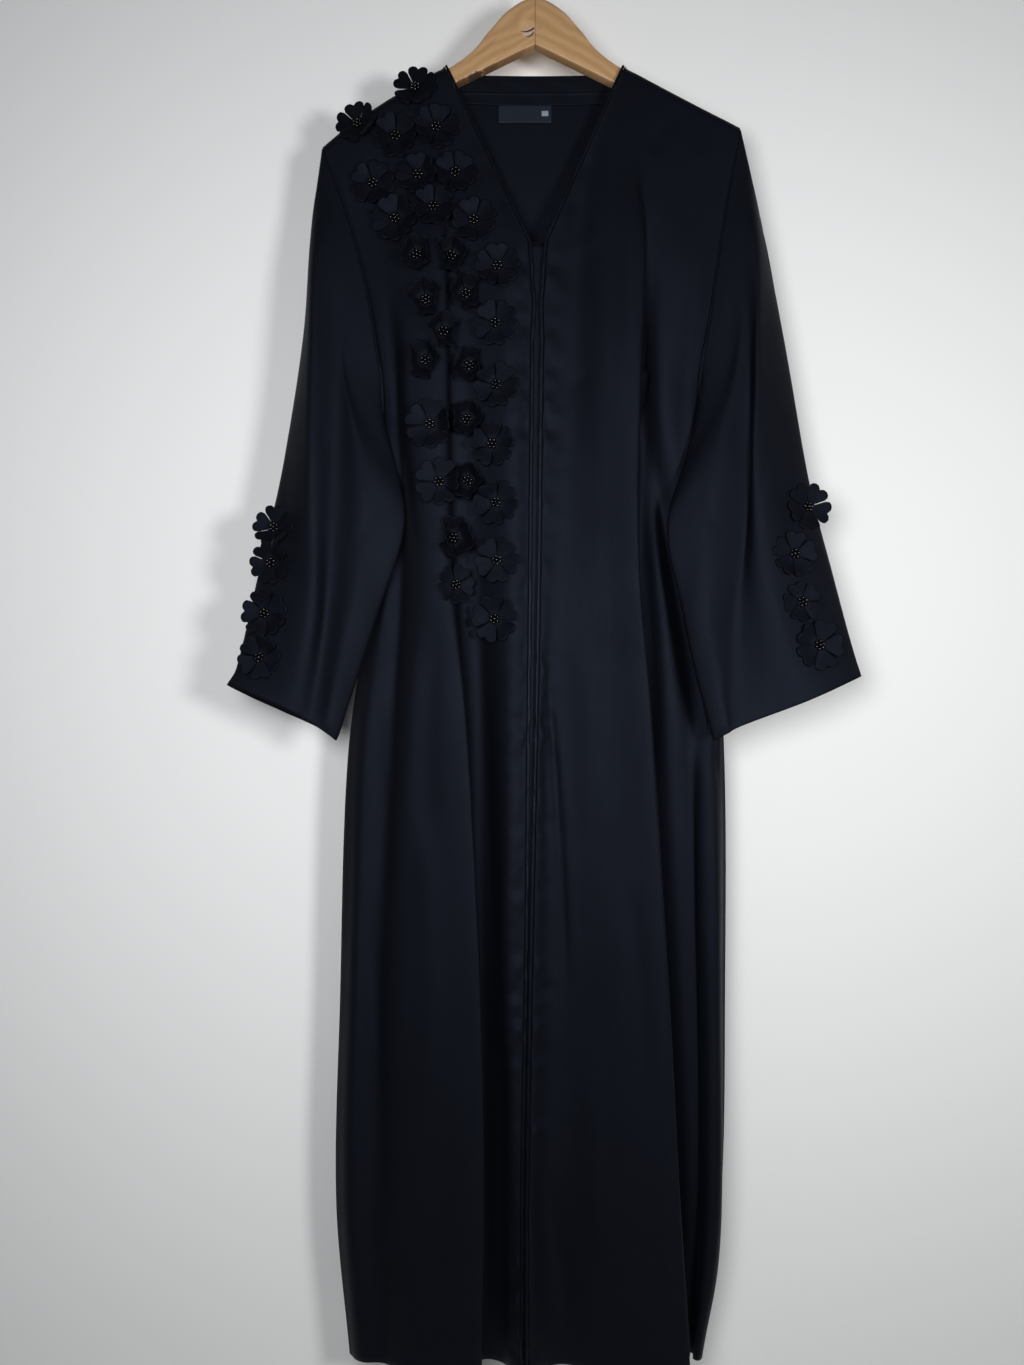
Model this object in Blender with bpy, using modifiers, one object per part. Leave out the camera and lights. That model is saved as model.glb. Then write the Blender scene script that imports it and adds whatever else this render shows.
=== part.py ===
"""Open-front abaya cloak with appliqued flowers, hanging on a wooden hanger.

Frame: +Z up, +X to the wearer's left, front towards -Y, origin at the inner top of the
hanger's hook. Lengths below are in millimetres; meshes are written in metres.
Every cloth panel is one sheet drawn through its own fold lines (columns) at named
heights (levels), then given its cloth thickness.
"""
import math

import bmesh
import bpy
from mathutils import Vector
from mathutils.bvhtree import BVHTree

PART = "abaya_on_hanger"
MM = 0.001

CLOTH = 1.2          # cloth wall
TRIM = 1.8           # folded binding
SEAM = 0.3           # air between neighbouring pieces
BINDING_WIDTH = 3.5
NECK_X = 88.0                      # the back's neckline ends here, the shoulder seam starts
SHOULDER_DROP = 9.0                # height over which the cloth rounds the hanger
UNDERARM = 0.225                   # level of the underarm on a panel's side edge

# Heights on a panel: share of the way from the shoulder seam to the hem.
LEVELS = (0.0, 0.072, 0.143, 0.225, 0.375, 0.505, 0.705, 0.872, 1.0)

# Front panel on the wearer's left. One row per fold line, from the front edge to the
# side seam; steps = faces to the next line, x and y one value per level.
FRONT_LEFT = (
    dict(line="edge", steps=2, top=-134.0, hem=-1448,
         x=(89, 48, 8, 5, 2, -1, -7, -10, -11),
         y=(-10, -14, -22, -24, -26, -28, -30, -32, -34)),
    dict(line="valley", steps=2, top=-136.5, hem=-1448,
         x=(94, 60, 42, 38, 31, 21, 25, 25, 31),
         y=(-10, -13, -16, -18, -22, -22, -22, -20, -16)),
    dict(line="ridge", steps=2, top=-139.5, hem=-1447,
         x=(99, 80, 77, 72, 70, 74, 84, 93, 102),
         y=(-10, -15, -24, -30, -32, -34, -38, -42, -46)),
    dict(line="crest", steps=3, top=-143.0, hem=-1446,
         x=(106, 98, 107, 109, 107, 115, 129, 141, 152),
         y=(-10, -15, -27, -34, -40, -44, -48, -50, -50)),
    dict(line="tuck", steps=3, top=-149.0, hem=-1447,
         x=(117, 112, 114, 106, 92, 98, 110, 120, 130),
         y=(-10, -13, -15, -16, -17, -18, -20, -20, -20)),
    dict(line="floor", steps=2, top=-166.0, hem=-1450,
         x=(149, 148, 144, 135, 131, 142, 152, 157, 148),
         y=(-10, -13, -17, -14, -9, -8, -8, -8, -8)),
    dict(line="pleat", steps=2, top=-182.0, hem=-1454,
         x=(180, 173, 162, 152, 151, 161, 168, 169, 157),
         y=(-10, -12, -14, -8, -5, -4, -3, -3, -3)),
    dict(line="side_ridge", steps=2, top=-190.0, hem=-1457,
         x=(196, 184, 172, 160, 169, 179, 182, 181, 165),
         y=(-10, -11, -11, -6, -7, -11, -15, -15, -10)),
    dict(line="side", steps=1, top=-197.0, hem=-1459,
         x=(210, 193, 180, 167, 181, 194, 195, 191, 172),
         y=(-9, -9, -8, -3, 2, 2, 2, 2, 2)),
)

# Front panel on the wearer's right, which carries the flowers.
FRONT_RIGHT = (
    dict(line="edge", steps=2, top=-134.0, hem=-1448,
         x=(-90, -53, -3, -1, -3, -5, -8, -12, -12),
         y=(-10, -14, -22, -24, -26, -28, -30, -32, -34)),
    dict(line="strip", steps=2, top=-136.5, hem=-1448,
         x=(-95, -62, -31, -28, -26, -26, -26, -26, -24),
         y=(-10, -14, -24, -28, -30, -30, -30, -28, -26)),
    dict(line="valley", steps=2, top=-139.5, hem=-1447,
         x=(-101, -80, -66, -64, -60, -54, -45, -42, -38),
         y=(-10, -12, -17, -17, -15, -14, -14, -14, -14)),
    dict(line="tuck", steps=3, top=-143.0, hem=-1447,
         x=(-108, -93, -82, -79, -76, -76, -78, -74, -72),
         y=(-10, -12, -18, -18, -18, -20, -20, -20, -20)),
    dict(line="crest", steps=3, top=-149.0, hem=-1446,
         x=(-117, -108, -100, -97, -92, -72, -57, -53, -57),
         y=(-10, -14, -25, -28, -30, -38, -42, -44, -44)),
    dict(line="plateau", steps=2, top=-168.0, hem=-1450,
         x=(-150, -140, -134, -128, -116, -124, -131, -128, -124),
         y=(-10, -13, -20, -22, -24, -28, -30, -30, -30)),
    dict(line="gutter", steps=2, top=-193.0, hem=-1454,
         x=(-188, -172, -152, -138, -136, -148, -160, -162, -153),
         y=(-10, -11, -14, -9, -7, -12, -14, -14, -14)),
    dict(line="side_ridge", steps=2, top=-207.0, hem=-1457,
         x=(-206, -182, -160, -148, -155, -174, -184, -188, -176),
         y=(-10, -10, -11, -6, -7, -11, -15, -15, -12)),
    dict(line="side", steps=1, top=-217.0, hem=-1459,
         x=(-218, -186, -166, -155, -171, -192, -200, -204, -190),
         y=(-9, -9, -8, -3, 2, 2, 2, 2, 2)),
)

# Back panel, side seam to side seam, hanging in soft folds.
BACK = (
    dict(line="right_side", steps=2, top=-217.0, hem=-1459,
         x=(-218, -186, -166, -155, -171, -192, -200, -204, -190),
         y=(9, 9, 9, -1, 4, 4, 4, 4, 4)),
    dict(line="right_fold", steps=2, top=-190.0, hem=-1457,
         x=(-184, -160, -140, -128, -142, -160, -166, -168, -160),
         y=(10, 12, 14, 15, 17, 19, 21, 22, 22)),
    dict(line="right_valley", steps=2, top=-162.0, hem=-1455,
         x=(-138, -118, -104, -94, -104, -118, -122, -124, -118),
         y=(10, 12, 14, 13, 11, 10, 9, 9, 9)),
    dict(line="right_neck", steps=2, top=-135.0, hem=-1454,
         x=(-90, -78, -68, -62, -66, -74, -76, -78, -76),
         y=(10, 12, 15, 18, 21, 24, 26, 27, 27)),
    dict(line="right_dip", steps=2, top=-135.5, hem=-1453,
         x=(-46, -42, -36, -32, -34, -38, -40, -42, -40),
         y=(10, 12, 14, 14, 13, 12, 11, 11, 11)),
    dict(line="centre", steps=2, top=-136.0, hem=-1452,
         x=(0, 0, 1, 2, 2, 3, 3, 3, 2),
         y=(10, 12, 15, 17, 20, 22, 24, 25, 25)),
    dict(line="left_dip", steps=2, top=-135.5, hem=-1453,
         x=(46, 43, 39, 36, 38, 43, 45, 46, 44),
         y=(10, 12, 14, 14, 12, 11, 10, 10, 10)),
    dict(line="left_neck", steps=2, top=-135.0, hem=-1454,
         x=(90, 80, 72, 66, 70, 80, 84, 85, 80),
         y=(10, 12, 15, 18, 22, 25, 27, 28, 28)),
    dict(line="left_valley", steps=2, top=-161.0, hem=-1455,
         x=(138, 124, 112, 102, 110, 122, 126, 126, 116),
         y=(10, 12, 14, 13, 11, 10, 9, 9, 9)),
    dict(line="left_fold", steps=2, top=-181.0, hem=-1457,
         x=(178, 164, 150, 138, 150, 163, 165, 163, 148),
         y=(10, 12, 14, 15, 17, 19, 21, 22, 22)),
    dict(line="left_side", steps=1, top=-197.0, hem=-1459,
         x=(210, 193, 180, 167, 181, 194, 195, 191, 172),
         y=(9, 9, 9, -1, 4, 4, 4, 4, 4)),
)

# Rows of faces down a panel, as levels. The first few round the shoulder.
PANEL_ROWS = (0.0, 0.0012, 0.0034, 0.0072, 0.035, 0.072, 0.108, 0.143, 0.170, 0.198, 0.225,
              0.270, 0.320, 0.375, 0.425, 0.465, 0.505, 0.570, 0.640, 0.705, 0.790, 0.872, 0.940, 1.0)
BACK_ROWS = (0.0, 0.0012, 0.0034, 0.0072, 0.035, 0.072, 0.108, 0.143, 0.170, 0.198, 0.225,
             0.320, 0.415, 0.505, 0.605, 0.705, 0.790, 0.872, 1.0)

# Sleeves: lengthwise lines round the tube, from the shoulder point over the front to the
# underarm and back. Stations are shares of the length; the first ring is the armhole.
STATIONS = (0.15, 0.35, 0.60, 0.80, 0.96, 1.0)
SLEEVE_LEFT = (
    dict(line="outer", x=(231, 253, 276, 302, 321, 327), y=(-3, -6, -12, -18, -24, -26),
         z=(-288, -407, -553, -663, -739, -760)),
    dict(line="ridge", x=(223, 224, 222, 238, 266, 274), y=(-20, -30, -36, -42, -44, -44),
         z=(-318, -432, -553, -683, -772, -782)),
    dict(line="valley", x=(210, 213, 211, 202, 205, 206), y=(-19, -24, -26, -28, -34, -36),
         z=(-372, -480, -602, -704, -795, -809)),
    dict(line="inner", x=(196, 178, 168, 175, 187, 190), y=(-19, -31, -37, -38, -38, -37),
         z=(-446, -546, -655, -734, -806, -817)),
    dict(line="under", x=(153, 133, 147, 161, 176, 179), y=(-13, -22, -26, -29, -31, -31),
         z=(-538, -608, -692, -759, -814, -824)),
    dict(line="back_inner", x=(200, 182, 180, 190, 202, 205), y=(5, -10, -21, -24, -26, -26),
         z=(-440, -544, -652, -730, -797, -808)),
    dict(line="back_fold", x=(212, 212, 220, 232, 246, 250), y=(5, -8, -13, -15, -17, -18),
         z=(-372, -480, -600, -700, -778, -790)),
    dict(line="back_outer", x=(226, 240, 256, 278, 296, 300), y=(5, 0, -5, -10, -15, -17),
         z=(-312, -432, -565, -680, -757, -773)),
)
SLEEVE_RIGHT = (
    dict(line="outer", x=(-229, -237, -257, -280, -300, -309), y=(-3, -6, -12, -18, -24, -26),
         z=(-300, -411, -548, -660, -752, -769)),
    dict(line="ridge", x=(-220, -224, -225, -226, -244, -250), y=(-18, -28, -38, -42, -42, -42),
         z=(-330, -431, -575, -685, -778, -792)),
    dict(line="valley", x=(-198, -200, -202, -210, -222, -226), y=(-16, -22, -28, -30, -34, -36),
         z=(-392, -482, -604, -706, -792, -805)),
    dict(line="inner", x=(-188, -172, -176, -192, -206, -209), y=(-17, -30, -36, -38, -38, -37),
         z=(-458, -549, -660, -738, -806, -816)),
    dict(line="under", x=(-145, -133, -157, -178, -196, -200), y=(-13, -22, -26, -29, -31, -31),
         z=(-538, -606, -690, -757, -814, -824)),
    dict(line="back_inner", x=(-188, -176, -184, -202, -216, -219), y=(5, -10, -21, -24, -26, -26),
         z=(-452, -546, -652, -730, -800, -811)),
    dict(line="back_fold", x=(-196, -202, -216, -232, -248, -252), y=(5, -8, -13, -15, -17, -18),
         z=(-386, -482, -600, -700, -783, -797)),
    dict(line="back_outer", x=(-220, -226, -242, -262, -280, -286), y=(5, 0, -5, -10, -15, -17),
         z=(-318, -432, -560, -675, -765, -782)),
)
SLEEVE_AROUND = (0.0, 0.0076, 0.04, 0.078, 0.12, 0.16, 0.2, 0.24, 0.279, 0.318, 0.378, 0.44, 0.47, 0.5,
                 0.53, 0.56, 0.622, 0.682, 0.76, 0.84, 0.88, 0.922, 0.96, 0.9924)
SLEEVE_ROWS = (0.0, 0.035, 0.08, 0.15, 0.22, 0.29, 0.35, 0.43, 0.51, 0.60, 0.67, 0.74, 0.80,
               0.88, 0.96, 1.0)

# Flowers sewn to the cloth: where each centre lies on its panel, the turn of its petals
# in degrees and its radius.
BODICE_FLOWERS = (
    dict(x=-122, z=-160, turn=10, radius=23), dict(x=-181, z=-197, turn=30, radius=23),
    dict(x=-142, z=-210, turn=52, radius=24), dict(x=-101, z=-201, turn=5, radius=24),
    dict(x=-119, z=-251, turn=24, radius=23), dict(x=-81, z=-248, turn=60, radius=23),
    dict(x=-165, z=-258, turn=0, radius=24), dict(x=-103, z=-286, turn=14, radius=23),
    dict(x=-142, z=-296, turn=40, radius=25), dict(x=-62, z=-298, turn=33, radius=24),
    dict(x=-119, z=-336, turn=8, radius=22), dict(x=-86, z=-336, turn=44, radius=22),
    dict(x=-38, z=-347, turn=20, radius=24), dict(x=-110, z=-382, turn=64, radius=23),
    dict(x=-70, z=-373, turn=2, radius=23), dict(x=-40, z=-405, turn=50, radius=24),
    dict(x=-93, z=-414, turn=28, radius=22), dict(x=-66, z=-446, turn=12, radius=22),
    dict(x=-110, z=-443, turn=38, radius=23), dict(x=-39, z=-467, turn=58, radius=24),
    dict(x=-106, z=-507, turn=6, radius=26), dict(x=-69, z=-500, turn=70, radius=22),
    dict(x=-43, z=-526, turn=18, radius=24), dict(x=-97, z=-565, turn=0, radius=25),
    dict(x=-69, z=-562, turn=36, radius=22), dict(x=-39, z=-585, turn=46, radius=24),
    dict(x=-84, z=-621, turn=22, radius=25), dict(x=-38, z=-643, turn=56, radius=24),
    dict(x=-82, z=-668, turn=66, radius=21), dict(x=-40, z=-702, turn=26, radius=25),
)
SLEEVE_RIGHT_FLOWERS = (
    dict(x=-262, z=-610, turn=16, radius=23), dict(x=-265, z=-646, turn=48, radius=23),
    dict(x=-270, z=-697, turn=30, radius=25), dict(x=-275, z=-741, turn=60, radius=23),
)
SLEEVE_LEFT_FLOWERS = (
    dict(x=274, z=-589, turn=54, radius=25), dict(x=257, z=-638, turn=12, radius=24),
    dict(x=264, z=-686, turn=40, radius=21), dict(x=281, z=-729, turn=0, radius=26),
)
FLOWER_CLOTH = 1.0
PETALS = 5
PETAL_GAP = 0.9        # a flat petal's side keeps this far inside its own fifth, a lifted one more
FRONT = Vector((0, -1, 0))

# Finishes, read from the photo: colour (linear), roughness and metallic.
CREPE = dict(colour=(0.012, 0.012, 0.016), rough=0.62)
SATIN_TRIM = dict(colour=(0.010, 0.010, 0.013), rough=0.42)
PETAL_CLOTH = dict(colour=(0.008, 0.008, 0.010), rough=0.75)
VARNISHED_WOOD = dict(colour=(0.62, 0.38, 0.20), rough=0.35)
STEEL = dict(colour=(0.72, 0.72, 0.74), rough=0.25, metal=1.0)
LABEL_WEAVE = dict(colour=(0.010, 0.010, 0.012), rough=0.5)
TAB_WEAVE = dict(colour=(0.55, 0.56, 0.60), rough=0.6)
PETAL_SPAN = 50.0      # flowers nearer than this lift the petals between them
# Half outline of one heart-shaped petal: angle from the petal's middle line, share of radius.
PETAL_OUTLINE = (
    dict(angle=-36, reach=0.32), dict(angle=-30, reach=0.78), dict(angle=-15, reach=1.0),
    dict(angle=0, reach=0.84), dict(angle=15, reach=1.0), dict(angle=30, reach=0.78))

# Hanger: stations along one arm with the top and bottom of the board there.
ARM = (
    dict(x=0.2, top=-65.0, bottom=-112.3, thick=14.0), dict(x=10, top=-66.5, bottom=-117.1, thick=14.0),
    dict(x=20, top=-71.8, bottom=-122.0, thick=14.0), dict(x=32, top=-81.0, bottom=-127.8, thick=14.0),
    dict(x=41, top=-91.4, bottom=-132.2, thick=14.0), dict(x=50, top=-101.7, bottom=-136.6, thick=14.0),
    dict(x=59, top=-113.5, bottom=-141.0, thick=14.0), dict(x=72, top=-125.4, bottom=-147.4, thick=14.0),
    dict(x=90, top=-137.5, bottom=-156.5, thick=13.6), dict(x=120, top=-154.5, bottom=-172.8, thick=13.2),
    dict(x=150, top=-171.5, bottom=-189.0, thick=12.8), dict(x=172, top=-185.0, bottom=-201.5, thick=12.4),
    dict(x=184, top=-193.5, bottom=-206.5, thick=11.0), dict(x=189, top=-198.5, bottom=-206.0, thick=7.0),
)
WIRE = 3.5                 # hook wire
HOOK_RADIUS = 17.0         # centre line of the bend
HOOK_FOOT = -64.6          # lower end of the shank, just clear of the wood

PLACKET_TOP = 0.141        # level of the under-placket's upper edge
PLACKET_HALF = 12.0
PLACKET_BEHIND = 3.4       # from the fronts' middle surface to the placket's
LABEL = dict(x0=-38.0, x1=17.5, z0=-185.0, z1=-166.8, thick=1.0)
SIZE_TAB = dict(x0=7.0, x1=14.0, z0=-178.5, z1=-173.2, thick=1.0)


def ease(value):
    """Smooth step from 0 to 1."""
    value = min(1.0, max(0.0, value))
    return value * value * (3.0 - 2.0 * value)


def through(knots, values, at):
    """Smooth curve through values at rising knots (cubic with averaged slopes)."""
    last = len(knots) - 1
    i = 0
    while i < last - 1 and at > knots[i + 1]:
        i += 1
    slopes = []
    for k in (i, i + 1):
        lo, hi = max(0, k - 1), min(last, k + 1)
        slopes.append((values[hi] - values[lo]) / (knots[hi] - knots[lo]))
    step = knots[i + 1] - knots[i]
    t = (at - knots[i]) / step
    rise = 3 * t ** 2 - 2 * t ** 3
    return ((1 - rise) * values[i] + (t ** 3 - 2 * t ** 2 + t) * step * slopes[0]
            + rise * values[i + 1] + (t ** 3 - t ** 2) * step * slopes[1])


def across(points, t, closed=False):
    """Smooth curve through points; t counts points."""
    n = len(points)
    i = math.floor(t) if closed else min(n - 2, max(0, math.floor(t)))
    f = t - i
    pick = [points[k % n] if closed else points[min(n - 1, max(0, k))] for k in range(i - 1, i + 3)]
    a, b, c, d = pick
    if not closed and i == 0:
        a = b * 2 - c
    if not closed and i == n - 2:
        d = c * 2 - b
    return 0.5 * (2 * b + (c - a) * f + (2 * a - 5 * b + 4 * c - d) * f ** 2
                  + (3 * b - 3 * c + d - a) * f ** 3)


class Panel:
    """A hanging sheet through its fold lines; point(u, v) with u counted in lines."""

    def __init__(self, lines, seam_y, inset=0.0):
        self.lines, self.seam_y, self.inset = lines, seam_y, inset

    def line_point(self, i, v):
        row = self.lines[i]
        x, y = through(LEVELS, row["x"], v), through(LEVELS, row["y"], v)
        if i == 0 and self.inset:
            x += math.copysign(self.inset, self.lines[-1]["x"][0])
        return Vector((x, y, row["top"] + (row["hem"] - row["top"]) * v))

    def point(self, u, v):
        points = [self.line_point(i, v) for i in range(len(self.lines))]
        p = across(points, u)
        top = across([Vector((0, 0, row["top"])) for row in self.lines], u).z
        drop = min(1.0, max(0.0, (top - p.z) / SHOULDER_DROP))
        rounded = self.seam_y + (p.y - self.seam_y) * math.sqrt(1.0 - (1.0 - drop) ** 2)
        over = 1.0 if self.seam_y < 0 else ease((abs(p.x) - NECK_X) / 5.0)
        p.y += (rounded - p.y) * over
        return p

    def columns(self):
        return [i + k / row["steps"] for i, row in enumerate(self.lines[:-1])
                for k in range(row["steps"])] + [len(self.lines) - 1.0]


class Sleeve:
    """A tube through its lengthwise lines, growing out of the armhole of two panels."""

    def __init__(self, lines, front, back, side):
        self.lines, self.front, self.back, self.side = lines, front, back, side

    def armhole(self, s):
        """Ring 0: the front panel's side edge down to the underarm, then the back's up."""
        down = 1.0 - abs(2.0 * s - 1.0)
        v = UNDERARM * down
        low = ease(down)
        panel, rows = (self.front, PANEL_ROWS) if s <= 0.5 else (self.back, BACK_ROWS)
        u = len(panel.lines) - 1 if s <= 0.5 or self.side > 0 else 0
        i = max(k for k in range(len(rows) - 1) if rows[k] <= v)
        share = (v - rows[i]) / (rows[i + 1] - rows[i])
        p = panel.point(u, rows[i]).lerp(panel.point(u, rows[i + 1]), share)
        near = ease((down - 0.85) / 0.15)
        p.x += self.side * (0.7 + 1.1 * low + 1.4 * near)
        p.y += -2.6 * low if s <= 0.5 else 1.5 * low - 6.1 * near
        return p

    def point(self, s, t):
        s = s % 1.0
        rings = [self.armhole(s)]
        for k in range(len(STATIONS)):
            ring = [Vector((row["x"][k], row["y"][k], row["z"][k])) for row in self.lines]
            rings.append(across(ring, s * len(ring), closed=True))
        knots = (0.0,) + STATIONS
        return Vector([through(knots, [r[axis] for r in rings], t) for axis in range(3)])


def find(surface, x, z, u_range, v_range, steps=32):
    """Front-most place of a surface at (x, z): returns u, v."""
    (u0, u1), (v0, v1) = u_range, v_range
    best, reach_u, reach_v = None, (u1 - u0) / steps, (v1 - v0) / steps
    for i in range(steps + 1):
        for j in range(steps + 1):
            u, v = u0 + reach_u * i, v0 + reach_v * j
            p = surface.point(u, v)
            miss = math.hypot(p.x - x, p.z - z)
            score = miss + 0.35 * p.y
            if best is None or score < best[0]:
                best = (score, u, v)
    _, u, v = best
    for _ in range(40):
        p = surface.point(u, v)
        pu, pv = surface.point(u + 0.01, v), surface.point(u, v + 0.002)
        a, b, c, d = pu.x - p.x, pv.x - p.x, pu.z - p.z, pv.z - p.z
        det = a * d - b * c
        if abs(det) < 1e-9:
            break
        dx, dz = x - p.x, z - p.z
        u = min(u1, max(u0, u + 0.5 * 0.01 * (d * dx - b * dz) / det))
        v = min(v1, max(v0, v + 0.5 * 0.002 * (a * dz - c * dx) / det))
    return u, v


def facing_out(surface, u, v):
    """Unit normal of a surface, pointing to the front."""
    du = surface.point(u + 0.05, v) - surface.point(u - 0.05, v)
    dv = surface.point(u, min(1.0, v + 0.01)) - surface.point(u, max(0.0, v - 0.01))
    n = du.cross(dv).normalized()
    return -n if n.y > 0 else n


def material(name, colour, rough, metal=0.0):
    mat = bpy.data.materials.new(name)
    mat.use_nodes = True
    shader = mat.node_tree.nodes["Principled BSDF"]
    shader.inputs["Base Color"].default_value = (*colour, 1.0)
    shader.inputs["Roughness"].default_value = rough
    shader.inputs["Metallic"].default_value = metal
    return mat


def as_object(bm, name, finish, home):
    """Close the mesh into a named object, in metres, with outward faces."""
    bmesh.ops.recalc_face_normals(bm, faces=bm.faces)
    bmesh.ops.scale(bm, vec=(MM, MM, MM), verts=bm.verts)
    mesh = bpy.data.meshes.new(name)
    bm.to_mesh(mesh)
    bm.free()
    mesh.materials.append(material(name, **finish))
    obj = bpy.data.objects.new(name, mesh)
    home.objects.link(obj)
    return obj


def thickened(bm, name, thickness, finish, home):
    """Give a mid-surface (in millimetres) its wall and close it."""
    mesh = bpy.data.meshes.new(name + "_mid")
    bm.to_mesh(mesh)
    bm.free()
    obj = bpy.data.objects.new(name + "_mid", mesh)
    home.objects.link(obj)
    wall = obj.modifiers.new("wall", "SOLIDIFY")
    wall.thickness, wall.offset = thickness, 0.0
    bpy.context.view_layer.update()
    ready = bmesh.new()
    ready.from_mesh(obj.evaluated_get(bpy.context.evaluated_depsgraph_get()).to_mesh())
    bpy.data.objects.remove(obj)
    bpy.data.meshes.remove(mesh)
    return as_object(ready, name, finish, home)


def sheet(place, us, vs, wrap=False):
    """Grid of faces through place(u, v); wrap joins the last column to the first."""
    bm = bmesh.new()
    rows = [[bm.verts.new(place(u, v)) for u in us] for v in vs]
    across_faces = len(us) if wrap else len(us) - 1
    for upper, lower in zip(rows, rows[1:]):
        for i in range(across_faces):
            j = (i + 1) % len(us)
            bm.faces.new((upper[i], upper[j], lower[j], lower[i]))
    return bm


def flower_mesh(centre, normal, turn, radius, lifts):
    """Mid-surface of one flower: five heart petals, each lifted by its own angle."""
    right = Vector((0, 0, 1)).cross(normal)
    right = right.normalized() if right.length > 0.1 else Vector((1, 0, 0))
    up = normal.cross(right)
    bm = bmesh.new()
    heart, rim = [], []
    for k in range(PETALS):
        middle = math.radians(turn + 72.0 * k)
        root = middle - math.radians(36)
        heart.append(bm.verts.new(centre + (right * math.cos(root) + up * math.sin(root)) * radius * 0.2))
        for mark in PETAL_OUTLINE:
            angle = middle + math.radians(mark["angle"])
            reach = radius * mark["reach"]
            lift = math.radians(lifts[k]) * ease((mark["reach"] - 0.3) / 0.7)
            along = right * math.cos(middle) + up * math.sin(middle)
            side = right * -math.sin(middle) + up * math.cos(middle)
            out = reach * math.cos(angle - middle)
            hinge = radius * 0.22
            flat = hinge + (out - hinge) * math.cos(lift) if lift else out
            rise = (out - hinge) * math.sin(lift) if lift else 0.0
            wide = flat * math.tan(math.radians(36))
            if mark["reach"] > 0.5:
                wide -= PETAL_GAP * (1.0 + 2.0 * math.sin(lift))
            aside = max(-wide, min(wide, reach * math.sin(angle - middle)))
            p = centre + along * flat + side * aside + normal * rise
            rim.append(bm.verts.new(p))
    bm.faces.new(heart)
    n = len(PETAL_OUTLINE)
    for k in range(PETALS):
        a, b = heart[k], heart[(k + 1) % PETALS]
        marks = rim[k * n:(k + 1) * n] + [rim[((k + 1) * n) % len(rim)]]
        bm.faces.new((a, marks[0], marks[1]))
        bm.faces.new((a, marks[1], marks[2], marks[3]))
        bm.faces.new((a, marks[3], b))
        bm.faces.new((b, marks[3], marks[4], marks[5]))
        bm.faces.new((b, marks[5], marks[6]))
    bmesh.ops.triangulate(bm, faces=bm.faces)
    return bm


def discard(obj):
    if obj is not None:
        mesh = obj.data
        bpy.data.objects.remove(obj)
        bpy.data.meshes.remove(mesh)


def tree_of(obj):
    mesh = obj.data
    mesh.calc_loop_triangles()
    return BVHTree.FromPolygons([v.co for v in mesh.vertices], [t.vertices for t in mesh.loop_triangles])


def sew_flowers(table, surface, u_range, v_range, prefix, finish, home, neighbours):
    """Place flowers on a surface; petals that face a neighbour stand up off the cloth."""
    spots = []
    for row in table:
        u, v = find(surface, row["x"], row["z"], u_range, v_range)
        spots.append((surface.point(u, v), (facing_out(surface, u, v) + FRONT).normalized(), row))
    placed = []
    for number, (foot, normal, row) in enumerate(spots, 1):
        right = Vector((0, 0, 1)).cross(normal).normalized()
        up = normal.cross(right)
        name = f"{prefix}_{number:02d}"
        for attempt in range(18):
            turn = row["turn"] + 12.0 * (attempt % 6)
            lifts = []
            for k in range(PETALS):
                angle = math.radians(turn + 72.0 * k)
                petal = right * math.cos(angle) + up * math.sin(angle)
                lift = 12.0 + 5.0 * ((k * 2 + number) % 3)
                for other, _, _ in spots:
                    gap = other - foot
                    if 1.0 < gap.length < PETAL_SPAN:
                        toward = max(0.0, petal.dot(gap.normalized()) - 0.45) / 0.55
                        near = ease((PETAL_SPAN - gap.length) / 12.0)
                        lift = max(lift, 12.0 + 44.0 * toward ** 0.5 * near)
                lifts.append(lift)
            clear = (CLOTH + FLOWER_CLOTH) / 2 + 1.2 * (attempt // 6)
            made = None
            while made is None or any(tree_of(made).overlap(cloth) for cloth in neighbours):
                discard(made)
                clear += 0.25
                made = thickened(
                    flower_mesh(foot + normal * clear, normal, turn, row["radius"], lifts),
                    name, FLOWER_CLOTH, finish, home)
            discard(made)
            made = thickened(
                flower_mesh(foot + normal * (clear + 0.2), normal, turn, row["radius"], lifts),
                name, FLOWER_CLOTH, finish, home)
            if attempt == 17 or not any(tree_of(made).overlap(other) for other in placed):
                placed.append(tree_of(made))
                break
            discard(made)


def hanger_arm(side, name, home):
    """One wooden half: rounded board sections from the centre joint to the tip."""
    bm = bmesh.new()
    rings = []
    for row in ARM:
        half, mid = (row["top"] - row["bottom"]) / 2, (row["top"] + row["bottom"]) / 2
        t = row["thick"] / 2
        c = min(3.0, t * 0.6, half * 0.6)
        k = c * 0.4
        outline = ((-t, -half + c), (-t, half - c), (-t + k, half - k), (-t + c, half),
                   (t - c, half), (t - k, half - k), (t, half - c), (t, -half + c),
                   (t - k, -half + k), (t - c, -half), (-t + c, -half), (-t + k, -half + k))
        rings.append([bm.verts.new((side * row["x"], y, mid + z)) for y, z in outline])
    for near, far in zip(rings, rings[1:]):
        for i in range(len(near)):
            j = (i + 1) % len(near)
            bm.faces.new((near[i], near[j], far[j], far[i]))
    bm.faces.new(rings[0])
    bm.faces.new(rings[-1])
    return as_object(bm, name, VARNISHED_WOOD, home)


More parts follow.
